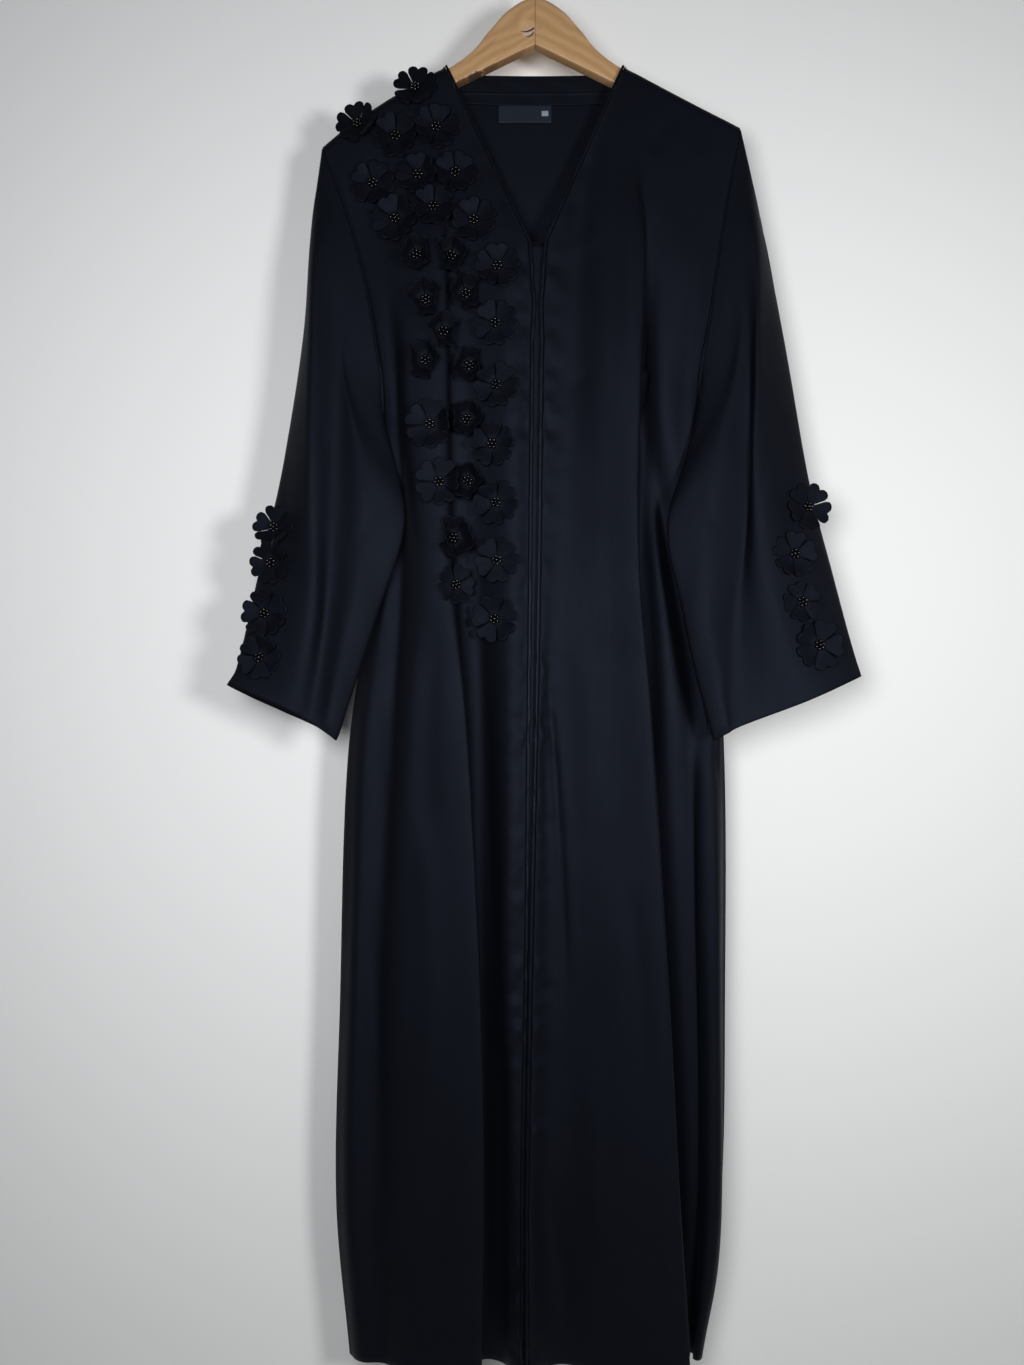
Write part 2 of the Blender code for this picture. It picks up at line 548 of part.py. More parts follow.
def hanger_hook(home):
    """Question-mark hook of round wire, swept along its centre line."""
    centre_z = WIRE / 2 - HOOK_RADIUS
    path = []
    for degrees in range(205, -46, -10):
        a = math.radians(degrees)
        path.append(Vector((HOOK_RADIUS * math.cos(a), 0, centre_z + HOOK_RADIUS * math.sin(a))))
    start = path[-1]
    for k in range(1, 7):
        t = k / 6.0
        x = start.x * (1 - t) ** 2 * (1 + 0.4 * t)
        path.append(Vector((x, 0, start.z - 20.0 * (t * 0.55 + t * t * 0.45))))
    path.append(Vector((0, 0, HOOK_FOOT)))
    curve = bpy.data.curves.new("hook_line", "CURVE")
    curve.dimensions = "3D"
    curve.bevel_depth, curve.bevel_resolution, curve.use_fill_caps = WIRE / 2, 2, True
    line = curve.splines.new("POLY")
    line.points.add(len(path) - 1)
    for spot, p in zip(line.points, path):
        spot.co = (*p, 1.0)
    obj = bpy.data.objects.new("hook_line", curve)
    home.objects.link(obj)
    bpy.context.view_layer.update()
    bm = bmesh.new()
    bm.from_mesh(obj.evaluated_get(bpy.context.evaluated_depsgraph_get()).to_mesh())
    bpy.data.objects.remove(obj)
    bmesh.ops.remove_doubles(bm, verts=bm.verts, dist=0.01)
    return as_object(bm, "hanger_hook", STEEL, home)


def build():
    for obj in list(bpy.data.objects):
        bpy.data.objects.remove(obj)
    home = bpy.data.collections.new(PART)
    bpy.context.scene.collection.children.link(home)

    inset = BINDING_WIDTH + SEAM
    left = Panel(FRONT_LEFT, -1.0, inset)
    right = Panel(FRONT_RIGHT, -1.0, inset)
    back = Panel(BACK, 1.0)

    fronts = []
    for panel, name in ((left, "front_left"), (right, "front_right")):
        bm = sheet(panel.point, panel.columns(), PANEL_ROWS)
        fronts.append(thickened(bm, name, CLOTH, CREPE, home))
    bm = sheet(back.point, back.columns(), BACK_ROWS)
    back_obj = thickened(bm, "back_panel", CLOTH, CREPE, home)

    sleeves = []
    for table, panel, side, name in ((SLEEVE_LEFT, left, 1, "sleeve_left"),
                                     (SLEEVE_RIGHT, right, -1, "sleeve_right")):
        tube = Sleeve(table, panel, back, side)
        bm = sheet(tube.point, SLEEVE_AROUND, SLEEVE_ROWS, wrap=True)
        sleeves.append((tube, thickened(bm, name, CLOTH, CREPE, home)))

    for panel, name in ((left, "binding_left"), (right, "binding_right")):
        def strip(reach, v, panel=panel):
            """Off the panel's edge, in the panel's own direction there."""
            edge = panel.point(0.0, v)
            return edge + (edge - panel.point(0.15, v)).normalized() * reach
        bm = sheet(strip, (SEAM + BINDING_WIDTH, SEAM), PANEL_ROWS)
        thickened(bm, name, TRIM, SATIN_TRIM, home)

    def placket(u, v):
        """Behind both front edges: u runs from -1 (wearer's right) to 1."""
        side = left if u > 0 else right
        reach = abs(u) * PLACKET_HALF
        p = side.point(0.0, v)
        if abs(u) < 0.3:
            a, b = left.point(0.0, v), right.point(0.0, v)
            return (a + b) / 2 + Vector((u * PLACKET_HALF, PLACKET_BEHIND, 0))
        far = side.point(reach / abs(side.point(1.0, v).x - p.x), v)
        return far + Vector((0, PLACKET_BEHIND, 0))
    rows = [PLACKET_TOP] + [v for v in PANEL_ROWS if v > PLACKET_TOP + 0.01]
    bm = sheet(placket, (-1.0, -0.45, 0.0, 0.45, 1.0), rows)
    thickened(bm, "under_placket", CLOTH, CREPE, home)

    def lying(x, z, off):
        """Point inside the back panel at (x, z), moved to the front by off."""
        u, v = find(back, x, z, (2.0, 8.0), (0.0, 0.1), steps=24)
        return back.point(u, v) + Vector((0, -off, 0))
    layer = CLOTH / 2 + SEAM
    xs = [-80 + 16 * i for i in range(11)]
    zs = [-142.0, -150.0, -158.0, -166.0]
    bm = sheet(lambda x, z: lying(x, z + 1.0, layer + CLOTH / 2 + 0.5), xs, zs)
    thickened(bm, "back_neck_facing", CLOTH, CREPE, home)
    for spec, name, finish, extra in ((LABEL, "label", LABEL_WEAVE, 0.0),
                                      (SIZE_TAB, "size_tab", TAB_WEAVE, 1.3)):
        xs = [spec["x0"] + (spec["x1"] - spec["x0"]) * i / 4 for i in range(5)]
        off = layer + spec["thick"] / 2 + 0.5 + extra
        bm = sheet(lambda x, z, off=off: lying(x, z, off), xs, (spec["z1"], spec["z0"]))
        thickened(bm, name, spec["thick"], finish, home)

    trees = [tree_of(fronts[1]), tree_of(back_obj), tree_of(sleeves[1][1])]
    sew_flowers(BODICE_FLOWERS, right, (0.0, 8.0), (0.004, 0.5), "flower_bodice", PETAL_CLOTH, home,
                trees)
    for (tube, obj), table, name in ((sleeves[1], SLEEVE_RIGHT_FLOWERS, "flower_cuff_right"),
                                     (sleeves[0], SLEEVE_LEFT_FLOWERS, "flower_cuff_left")):
        sew_flowers(table, tube, (0.0, 0.45), (0.3, 1.0), name, PETAL_CLOTH, home, [tree_of(obj)])

    hanger_arm(1, "hanger_left", home)
    hanger_arm(-1, "hanger_right", home)
    hanger_hook(home)


build()
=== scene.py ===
# %% [markdown]
# # A black abaya on a wooden hanger
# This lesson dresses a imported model: an open-front abaya with sewn-on cloth flowers.
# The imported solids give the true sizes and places. Every piece made below lies on one of
# them, with finer folds, petals, beads, stitches and finishes than a solid can carry.
# Tables are in millimetres, as a maker would measure, and meshes are written in metres.

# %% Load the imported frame
import math
import random

import bmesh
import bpy
import numpy as np
from mathutils import Matrix, Vector
from mathutils.bvhtree import BVHTree


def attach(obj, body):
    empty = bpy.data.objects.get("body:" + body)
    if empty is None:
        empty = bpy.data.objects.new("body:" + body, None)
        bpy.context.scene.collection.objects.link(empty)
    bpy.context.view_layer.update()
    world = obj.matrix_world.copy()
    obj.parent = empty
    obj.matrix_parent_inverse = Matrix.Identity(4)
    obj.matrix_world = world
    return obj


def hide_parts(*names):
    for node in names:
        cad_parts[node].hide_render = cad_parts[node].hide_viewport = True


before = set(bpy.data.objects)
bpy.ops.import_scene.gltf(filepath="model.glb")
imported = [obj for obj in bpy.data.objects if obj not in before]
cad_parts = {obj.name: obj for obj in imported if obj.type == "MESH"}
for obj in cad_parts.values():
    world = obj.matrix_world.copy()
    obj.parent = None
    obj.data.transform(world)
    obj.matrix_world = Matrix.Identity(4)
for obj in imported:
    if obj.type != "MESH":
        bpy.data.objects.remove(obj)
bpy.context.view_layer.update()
MM = 0.001

# %% [markdown]
# ## The camera
# A lens is worked out, not guessed: the picture is 1365 pixels tall, one pixel covers
# 1.03 mm at the hanger, and the camera stands 1070 mm in front of it. Similar triangles
# then give the focal length. The camera looks straight ahead, level with the garment's middle.

# %% Camera
PICTURE = (1024, 1365)
PIXEL = 1.03
CAMERA_AWAY, CAMERA_HEIGHT = 1070.0, -766.0
HANGER_COLUMN = 535
SENSOR = 36.0

camera = bpy.data.objects.new("camera", bpy.data.cameras.new("camera"))
camera.data.sensor_width = SENSOR
camera.data.lens = SENSOR * (CAMERA_AWAY / PIXEL) / PICTURE[1]
camera.location = ((PICTURE[0] / 2 - HANGER_COLUMN) * PIXEL * MM, -CAMERA_AWAY * MM, CAMERA_HEIGHT * MM)
camera.rotation_euler = (math.pi / 2, 0, 0)
bpy.context.scene.collection.objects.link(camera)
bpy.context.scene.camera = camera
bpy.context.scene.view_settings.view_transform = "Standard"
print("lens:", round(camera.data.lens, 2), "mm")

# %% [markdown]
# ## Small helpers for materials
# Shader nodes are many small calls, so a few helpers keep the finishes readable. They add a
# node and fill or link its sockets by name, do arithmetic, mix two colours, and start a
# material or a node group.


# %% Node helpers
def fill(tree, socket, value):
    """Give a socket a value, or link the output of another node to it."""
    if isinstance(value, bpy.types.NodeSocket):
        tree.links.new(value, socket)
    else:
        socket.default_value = value


def add(tree, kind, settings=None, **sockets):
    """A new node; each socket takes a value, or the output of another node."""
    made = tree.nodes.new(kind)
    for key, value in (settings or {}).items():
        setattr(made, key, value)
    for key, value in sockets.items():
        fill(tree, made.inputs[key.replace("_", " ")], value)
    return made


def maths(tree, operation, *values):
    """Arithmetic on numbers or on the outputs of other nodes."""
    made = add(tree, "ShaderNodeMath", dict(operation=operation))
    for socket, value in zip(made.inputs, values):
        fill(tree, socket, value)
    return made.outputs[0]


def blend(tree, factor, first, second):
    """A colour between two colours."""
    made = add(tree, "ShaderNodeMix", dict(data_type="RGBA"))
    for place, value in ((0, factor), (6, first), (7, second)):
        fill(tree, made.inputs[place], value)
    return made.outputs[2]


def spread(tree, value, low, high):
    """A mask from 0 to 1 made into a number from low to high."""
    return add(tree, "ShaderNodeMapRange", Value=value, To_Min=low, To_Max=high).outputs[0]


def speckle(tree, scale, detail=2.0):
    """Fine noise over a piece, in its own coordinates."""
    place = add(tree, "ShaderNodeTexCoord").outputs["Object"]
    return add(tree, "ShaderNodeTexNoise", Vector=place, Scale=scale, Detail=detail).outputs["Fac"]


def finish_named(name, **uniform):
    """A material with its Principled shader; uniform values go straight on its sockets."""
    made = bpy.data.materials.new(name)
    made.use_nodes = True
    shader = made.node_tree.nodes["Principled BSDF"]
    for key, value in uniform.items():
        shader.inputs[key.replace("_", " ")].default_value = value
    return made, made.node_tree, shader


def new_group(name, inputs, outputs):
    """An empty node group with named sockets, and its first and last node."""
    group = bpy.data.node_groups.new(name, "ShaderNodeTree")
    for way, labels in (("INPUT", inputs), ("OUTPUT", outputs)):
        for label in labels:
            kind = "NodeSocketVector" if label == "Vector" else "NodeSocketFloat"
            group.interface.new_socket(label, in_out=way, socket_type=kind)
    return group, group.nodes.new("NodeGroupInput"), group.nodes.new("NodeGroupOutput")


def bumped(tree, shader, height, distance, strength=1.0):
    """Small relief on a finish; distance is in metres."""
    bump = add(tree, "ShaderNodeBump", Height=height, Strength=strength, Distance=distance)
    tree.links.new(bump.outputs["Normal"], shader.inputs["Normal"])


# %% [markdown]
# ## The grain of the cloth
# Crepe is woven from hard-twisted yarn, so its surface is a fine plain weave broken up by
# tiny pebbles. Both are worked out on the cloth's own UV map, which is in metres, so the
# grain keeps its size and follows every fold. All the black cloths share this group, each
# with its own yarn size.


# %% Cloth grain
def grain_group():
    """Plain weave and pebbles as Height, slubs and soft clouds as Shade."""
    group, start, end = new_group("cloth_grain", ("Vector", "Yarns per metre", "Pebble"), ("Height", "Shade"))
    place, yarns, pebble = start.outputs[0], start.outputs[1], start.outputs[2]

    axes = add(group, "ShaderNodeSeparateXYZ", Vector=place)
    turn = maths(group, "MULTIPLY", yarns, math.pi)
    warp = maths(group, "SINE", maths(group, "MULTIPLY", axes.outputs[0], turn))
    weft = maths(group, "SINE", maths(group, "MULTIPLY", axes.outputs[1], turn))
    weave = maths(group, "ABSOLUTE", maths(group, "MULTIPLY", warp, weft))
    fine = add(group, "ShaderNodeTexNoise", Vector=place, Detail=2.0, Roughness=0.6,
               Scale=maths(group, "MULTIPLY", yarns, 0.45))
    height = maths(group, "ADD", maths(group, "MULTIPLY", fine.outputs["Fac"], pebble),
                   maths(group, "MULTIPLY", weave, maths(group, "SUBTRACT", 1.0, pebble)))
    group.links.new(height, end.inputs[0])

    slub_place = add(group, "ShaderNodeMapping", Vector=place, Scale=(1.0, 0.12, 1.0))
    slub = add(group, "ShaderNodeTexNoise", Vector=slub_place.outputs[0], Scale=260.0, Detail=3.0)
    cloud = add(group, "ShaderNodeTexNoise", Vector=place, Scale=14.0, Detail=3.0, Roughness=0.55)
    shade = maths(group, "ADD", maths(group, "MULTIPLY", slub.outputs["Fac"], 0.4),
                  maths(group, "MULTIPLY", cloud.outputs["Fac"], 0.6))
    contrast = maths(group, "SUBTRACT", maths(group, "MULTIPLY", shade, 2.0), 0.5)
    group.links.new(spread(group, contrast, 0.0, 1.0), end.inputs[1])
    return group


GRAIN = grain_group()


def black_cloth(name, dark, light, rough, yarns, pebble, bump, **uniform):
    """A black cloth: two near blacks clouded together, with its weave as bump and gloss."""
    made, tree, shader = finish_named(name, **uniform)
    place = add(tree, "ShaderNodeUVMap", dict(uv_map="cloth"))
    grain = add(tree, "ShaderNodeGroup", dict(node_tree=GRAIN), Vector=place.outputs[0],
                Yarns_per_metre=yarns, Pebble=pebble)
    colour = blend(tree, grain.outputs["Shade"], (*dark, 1), (*light, 1))
    tree.links.new(colour, shader.inputs["Base Color"])
    glossy = maths(tree, "SUBTRACT", spread(tree, grain.outputs["Shade"], rough + 0.05, rough - 0.05),
                   maths(tree, "MULTIPLY", grain.outputs["Height"], 0.06))
    tree.links.new(glossy, shader.inputs["Roughness"])
    bumped(tree, shader, grain.outputs["Height"], bump)
    return made


BLUISH = (.54, .66, 1, 1)
DYED = dict(Specular_Tint=BLUISH, Sheen_Weight=.01)      # what all the black dyed cloths share
CREPE = black_cloth("black_crepe", dark=(.0011, .0013, .0021), light=(.0020, .0023, .0036),
                    rough=.63, yarns=2600, pebble=.6, bump=.00008,
                    Specular_IOR_Level=.165, Sheen_Roughness=.45, Sheen_Tint=BLUISH, **DYED)
SATIN = black_cloth("black_satin_binding", dark=(.0013, .0016, .0026), light=(.0022, .0027, .0042),
                    rough=.45, yarns=3600, pebble=.2, bump=.00005,
                    Specular_IOR_Level=.17, Sheen_Roughness=.35, **DYED)
PETAL = black_cloth("black_petal_cloth", dark=(.0012, .0014, .0022), light=(.0020, .0024, .0036),
                    rough=.58, yarns=2200, pebble=.5, bump=.0001,
                    Specular_IOR_Level=.11, Sheen_Roughness=.5, Sheen_Tint=BLUISH, **DYED)
LABEL = black_cloth("black_label_weave", dark=(.006, .009, .016), light=(.011, .015, .026),
                    rough=.45, yarns=4200, pebble=.1, bump=.00006, Specular_IOR_Level=.2)
TAB = black_cloth("grey_size_tab_weave", dark=(.14, .17, .22), light=(.24, .28, .34),
                  rough=.6, yarns=4200, pebble=.1, bump=.00006, Specular_IOR_Level=.2)
print("cloth finishes:", [m.name for m in (CREPE, SATIN, PETAL, LABEL, TAB)])

# %% [markdown]
# ## Drawing a hanging panel
# A hung panel is easiest to describe by the lines that its folds follow: where each line
# runs from the shoulder to the hem, and how far forward it stands. A smooth curve down each
# line and another across the lines gives the whole sheet. numpy does it for all points at
# once, which keeps a fine mesh quick.


# %% Smooth curves
def ease(value):
    """Smooth step from 0 to 1."""
    value = np.clip(value, 0.0, 1.0)
    return value * value * (3.0 - 2.0 * value)


def down_lines(knots, values, at):
    """Cubic curves with averaged slopes; the first axis of values follows the knots."""
    knots, values, at = (np.asarray(a, float) for a in (knots, values, at))
    last = len(knots) - 1
    beside = [(max(0, k - 1), min(last, k + 1)) for k in range(last + 1)]
    slope = np.array([(values[b] - values[a]) / (knots[b] - knots[a]) for a, b in beside])
    i = np.clip(np.searchsorted(knots, at) - 1, 0, last - 1)
    shape = (-1,) + (1,) * (values.ndim - 1)
    step = (knots[i + 1] - knots[i]).reshape(shape)
    t = ((at - knots[i]).reshape(shape)) / step
    rise = 3 * t ** 2 - 2 * t ** 3
    return ((1 - rise) * values[i] + (t ** 3 - 2 * t ** 2 + t) * step * slope[i]
            + rise * values[i + 1] + (t ** 3 - t ** 2) * step * slope[i + 1])


def across_lines(points, at, closed=False):
    """Smooth curves across the second axis of points; at counts lines."""
    at, n = np.asarray(at, float), points.shape[1]
    i = np.floor(at).astype(int)
    if closed:
        a, b, c, d = (points[:, (i + k) % n] for k in (-1, 0, 1, 2))
    else:
        i = np.clip(i, 0, n - 2)
        wide = np.concatenate([2 * points[:, :1] - points[:, 1:2], points,
                               2 * points[:, -1:] - points[:, -2:-1]], axis=1)
        a, b, c, d = (wide[:, i + k] for k in range(4))
    f = (at - i)[None, :, None]
    return 0.5 * (2 * b + (c - a) * f + (2 * a - 5 * b + 4 * c - d) * f ** 2
                  + (3 * b - 3 * c + d - a) * f ** 3)


# %% Panel tables
LEVELS = (0.0, 0.072, 0.143, 0.225, 0.375, 0.505, 0.705, 0.872, 1.0)   # share from shoulder to hem
CLOTH, TRIM, SEAM = 1.2, 1.8, 0.3
BINDING_WIDTH = 3.5
NECK_X, SHOULDER_DROP, UNDERARM = 88.0, 9.0, 0.225

FRONT_LEFT = (      # wearer's left, from the front edge to the side seam
    dict(top=-134.0, hem=-1448, x=(89, 48, 8, 5, 2, -1, -7, -10, -11),
         y=(-10, -14, -22, -24, -26, -28, -30, -32, -34)),
    dict(top=-136.5, hem=-1448, x=(94, 60, 42, 38, 31, 21, 25, 25, 31),
         y=(-10, -13, -16, -18, -22, -22, -22, -20, -16)),
    dict(top=-139.5, hem=-1447, x=(99, 80, 77, 72, 70, 74, 84, 93, 102),
         y=(-10, -15, -24, -30, -32, -34, -38, -42, -46)),
    dict(top=-143.0, hem=-1446, x=(106, 98, 106, 104, 101, 113, 129, 141, 152),
         y=(-10, -15, -27, -34, -40, -44, -48, -50, -50)),
    dict(top=-149.0, hem=-1447, x=(117, 112, 114, 106, 92, 98, 110, 120, 130),
         y=(-10, -13, -15, -16, -17, -18, -20, -20, -20)),
    dict(top=-166.0, hem=-1450, x=(149, 148, 144, 135, 131, 142, 152, 157, 148),
         y=(-10, -13, -17, -14, -9, -8, -8, -8, -8)),
    dict(top=-182.0, hem=-1454, x=(180, 173, 162, 152, 151, 161, 168, 169, 157),
         y=(-10, -12, -14, -8, -5, -4, -3, -3, -3)),
    dict(top=-190.0, hem=-1457, x=(196, 184, 172, 160, 169, 179, 182, 181, 165),
         y=(-10, -11, -11, -6, -7, -11, -15, -15, -10)),
    dict(top=-197.0, hem=-1459, x=(210, 193, 180, 167, 181, 194, 195, 191, 172),
         y=(-9, -9, -8, -3, 2, 2, 2, 2, 2)),
)
FRONT_RIGHT = (     # wearer's right, which carries the flowers
    dict(top=-134.0, hem=-1448, x=(-90, -53, -3, -1, -3, -5, -8, -12, -12),
         y=(-10, -14, -22, -24, -26, -28, -30, -32, -34)),
    dict(top=-136.5, hem=-1448, x=(-95, -62, -31, -28, -26, -26, -26, -26, -24),
         y=(-10, -14, -24, -28, -30, -30, -30, -28, -26)),
    dict(top=-139.5, hem=-1447, x=(-101, -80, -66, -64, -60, -54, -45, -42, -38),
         y=(-10, -12, -17, -17, -15, -14, -14, -14, -14)),
    dict(top=-143.0, hem=-1447, x=(-108, -93, -82, -79, -76, -76, -78, -74, -72),
         y=(-10, -12, -18, -18, -18, -20, -20, -20, -20)),
    dict(top=-149.0, hem=-1446, x=(-117, -108, -100, -97, -92, -72, -57, -53, -57),
         y=(-10, -14, -25, -28, -30, -38, -42, -44, -44)),
    dict(top=-168.0, hem=-1450, x=(-150, -140, -134, -128, -116, -124, -131, -128, -124),
         y=(-10, -13, -20, -22, -24, -28, -30, -30, -30)),
    dict(top=-193.0, hem=-1454, x=(-188, -172, -152, -138, -136, -148, -160, -162, -153),
         y=(-10, -11, -14, -9, -7, -12, -14, -14, -14)),
    dict(top=-207.0, hem=-1457, x=(-206, -182, -160, -148, -155, -174, -184, -188, -176),
         y=(-10, -10, -11, -6, -7, -11, -15, -15, -12)),
    dict(top=-217.0, hem=-1459, x=(-218, -186, -166, -155, -171, -192, -200, -204, -190),
         y=(-9, -9, -8, -3, 2, 2, 2, 2, 2)),
)
BACK = (            # side seam to side seam, from the wearer's right
    dict(top=-217.0, hem=-1459, x=(-218, -186, -166, -155, -171, -192, -200, -204, -190),
         y=(9, 9, 9, -1, 4, 4, 4, 4, 4)),
    dict(top=-190.0, hem=-1457, x=(-184, -160, -140, -128, -142, -160, -166, -168, -160),
         y=(10, 12, 14, 15, 17, 19, 21, 22, 22)),
    dict(top=-162.0, hem=-1455, x=(-138, -118, -104, -94, -104, -118, -122, -124, -118),
         y=(10, 12, 14, 13, 11, 10, 9, 9, 9)),
    dict(top=-135.0, hem=-1454, x=(-90, -78, -68, -62, -66, -74, -76, -78, -76),
         y=(10, 12, 15, 18, 21, 24, 26, 27, 27)),
    dict(top=-135.5, hem=-1453, x=(-46, -42, -36, -32, -34, -38, -40, -42, -40),
         y=(10, 12, 14, 14, 13, 12, 11, 11, 11)),
    dict(top=-136.0, hem=-1452, x=(0, 0, 1, 2, 2, 3, 3, 3, 2), y=(10, 12, 15, 17, 20, 22, 24, 25, 25)),
    dict(top=-135.5, hem=-1453, x=(46, 43, 39, 36, 38, 43, 45, 46, 44),
         y=(10, 12, 14, 14, 12, 11, 10, 10, 10)),
    dict(top=-135.0, hem=-1454, x=(90, 80, 72, 66, 70, 80, 84, 85, 80),
         y=(10, 12, 15, 18, 22, 25, 27, 28, 28)),
    dict(top=-161.0, hem=-1455, x=(138, 124, 112, 102, 110, 122, 126, 126, 116),
         y=(10, 12, 14, 13, 11, 10, 9, 9, 9)),
    dict(top=-181.0, hem=-1457, x=(178, 164, 150, 138, 150, 163, 165, 163, 148),
         y=(10, 12, 14, 15, 17, 19, 21, 22, 22)),
    dict(top=-197.0, hem=-1459, x=(210, 193, 180, 167, 181, 194, 195, 191, 172),
         y=(9, 9, 9, -1, 4, 4, 4, 4, 4)),
)


# %% Panel points
def panel_points(lines, columns, rows, seam_y, inset=0.0):
    """All points of a hanging panel, as an array of rows by columns by x, y, z."""
    x = np.stack([down_lines(LEVELS, line["x"], rows) for line in lines], axis=1)
    y = np.stack([down_lines(LEVELS, line["y"], rows) for line in lines], axis=1)
    z = np.stack([line["top"] + (line["hem"] - line["top"]) * rows for line in lines], axis=1)
    x[:, 0] += math.copysign(inset, lines[-1]["x"][0]) if inset else 0.0
    points = across_lines(np.stack([x, y, z], axis=2), columns)
    tops = np.array([[(0, 0, line["top"]) for line in lines]], float)
    drop = np.clip((across_lines(tops, columns)[..., 2] - points[..., 2]) / SHOULDER_DROP, 0, 1)
    rounded = seam_y + (points[..., 1] - seam_y) * np.sqrt(1 - (1 - drop) ** 2)
    over = 1.0 if seam_y < 0 else ease((abs(points[..., 0]) - NECK_X) / 5.0)
    points[..., 1] += (rounded - points[..., 1]) * over
    return points


def facing_of(points, outward, closed=False):
    """Unit normals of a grid of points; outward is -1 for fronts, 1 for backs."""
    if closed:
        wide = np.concatenate([points[:, -2:-1], points, points[:, 1:2]], axis=1)
        du = np.gradient(wide, axis=1)[:, 1:-1]
    else:
        du = np.gradient(points, axis=1)
    normal = np.cross(du, np.gradient(points, axis=0))
    normal /= np.maximum(np.linalg.norm(normal, axis=2, keepdims=True), 1e-9)
    if outward:
        normal *= np.where(normal[..., 1:2] * outward < 0, -1, 1)
    return normal


def along_rows(points):
    """Distance of each point from its row's first one, measured on the cloth."""
    steps = np.linalg.norm(np.diff(points, axis=1), axis=2)
    return np.concatenate([np.zeros((len(points), 1)), np.cumsum(steps, axis=1)], axis=1)


HEM_LEVEL = -1457.0
V_CORNER = 0.141        # the neckline meets the straight front edge here


def settled(points, rows):
    """Bring a front's hem down to one level and its neckline to a crisp V, as the cloth hangs."""
    edge = points[:, 0, 0]
    knots = (0, V_CORNER, V_CORNER + 0.05)
    straight = np.interp(rows, knots, np.interp(knots, rows, edge))
    shift = np.where(rows < knots[-1], straight - edge, 0.0)
    away = along_rows(points)
    points[..., 0] += shift[:, None] * (1 - ease(away / 30.0))
    low = ease((rows - 0.8) / 0.2)[:, None]
    points[..., 2] += low * (np.minimum(points[-1:, :, 2], HEM_LEVEL) - points[-1:, :, 2])
    return points


ROLL_ROWS = (0, .0006, .0013, .0023, .0035, .0052, .0075, .012, .02, .028)  # close together over the shoulder
FRONT_ROWS = np.concatenate([ROLL_ROWS, np.linspace(.035, 1, 200)])
PANEL_COLUMNS = np.linspace(0, len(FRONT_LEFT) - 1, 97)
BACK_COLUMNS = np.linspace(0, len(BACK) - 1, 101)
print("front grid:", len(PANEL_COLUMNS), "by", len(FRONT_ROWS))

# %% [markdown]
# ## Creases, swells and puckers
# The big folds are in the lines. What makes cloth look worn and hung is smaller: soft
# creases that fade at both ends, long shallow swells, and little puckers where a straight
# binding holds a soft edge. Each crease is a row of a table with its own place, width and
# depth, plus for a ridge and minus for a trough, because real ones are never alike.

# %% Crease tables
CREASES_LEFT = (
    dict(start=(62, -190), end=(46, -420), wide=13, deep=-2.2, bow=10),
    dict(start=(92, -240), end=(84, -500), wide=9, deep=1.0, bow=-6),
    dict(start=(11, -740), end=(32, -1110), wide=3.4, deep=-2.6, bow=-3),
    dict(start=(17, -730), end=(39, -1100), wide=5, deep=1.3, bow=-3),
    dict(start=(106, -280), end=(116, -900), wide=12, deep=-16.0, bow=0, lines=(3.5, 6.0)),
    dict(start=(103, -500), end=(162, -1640), wide=15, deep=-13.0, bow=0, lines=(3.5, 6.6)),
    dict(start=(172, -760), end=(186, -1600), wide=14, deep=7.5, bow=3, lines=(4.6, 7.9)),
    dict(start=(111, -462), end=(186, -880), wide=13, deep=-15.0, bow=0, lines=(4.2, 7.7)),
    dict(start=(40, -700), end=(52, -930), wide=12, deep=1.3, bow=-8),
    dict(start=(0, -1240), end=(44, -1430), wide=16, deep=-3.0, bow=6),
    dict(start=(58, -1110), end=(74, -1400), wide=11, deep=1.6, bow=7),
    dict(start=(150, -176), end=(118, -236), wide=10, deep=-1.3, bow=5),
    dict(start=(168, -196), end=(150, -300), wide=8, deep=1.0, bow=-5),
    dict(start=(104, -560), end=(112, -760), wide=7, deep=1.0, bow=0),
    dict(start=(92, -950), end=(104, -1220), wide=9, deep=-1.5, bow=-6),
    dict(start=(172, -760), end=(178, -1120), wide=7, deep=1.2, bow=3),
    dict(start=(30, -330), end=(64, -306), wide=7, deep=0.8, bow=4),
    dict(start=(24, -480), end=(60, -455), wide=8, deep=-0.8, bow=-4),
)
CREASES_RIGHT = (
    dict(start=(-30, -300), end=(-22, -520), wide=8, deep=0.9, bow=4),
    dict(start=(-88, -250), end=(-72, -760), wide=9, deep=-4.5, bow=3, lines=(1.3, 3.7)),
    dict(start=(-64, -600), end=(-48, -1600), wide=12, deep=-10.0, bow=-3, lines=(1.2, 3.7)),
    dict(start=(-24, -900), end=(-30, -1180), wide=7, deep=1.0, bow=5),
    dict(start=(-96, -690), end=(-104, -960), wide=11, deep=-1.8, bow=8),
    dict(start=(-118, -860), end=(-112, -1220), wide=10, deep=1.6, bow=-9),
    dict(start=(-144, -640), end=(-150, -900), wide=8, deep=1.2, bow=4),
    dict(start=(-170, -980), end=(-160, -1330), wide=9, deep=-1.5, bow=-5),
    dict(start=(-80, -1180), end=(-98, -1430), wide=10, deep=-1.8, bow=5),
    dict(start=(-176, -210), end=(-150, -330), wide=9, deep=-1.3, bow=-6),
    dict(start=(-128, -420), end=(-132, -560), wide=7, deep=1.0, bow=3),
    dict(start=(-30, -1090), end=(-20, -1400), wide=8, deep=-1.2, bow=4),
)
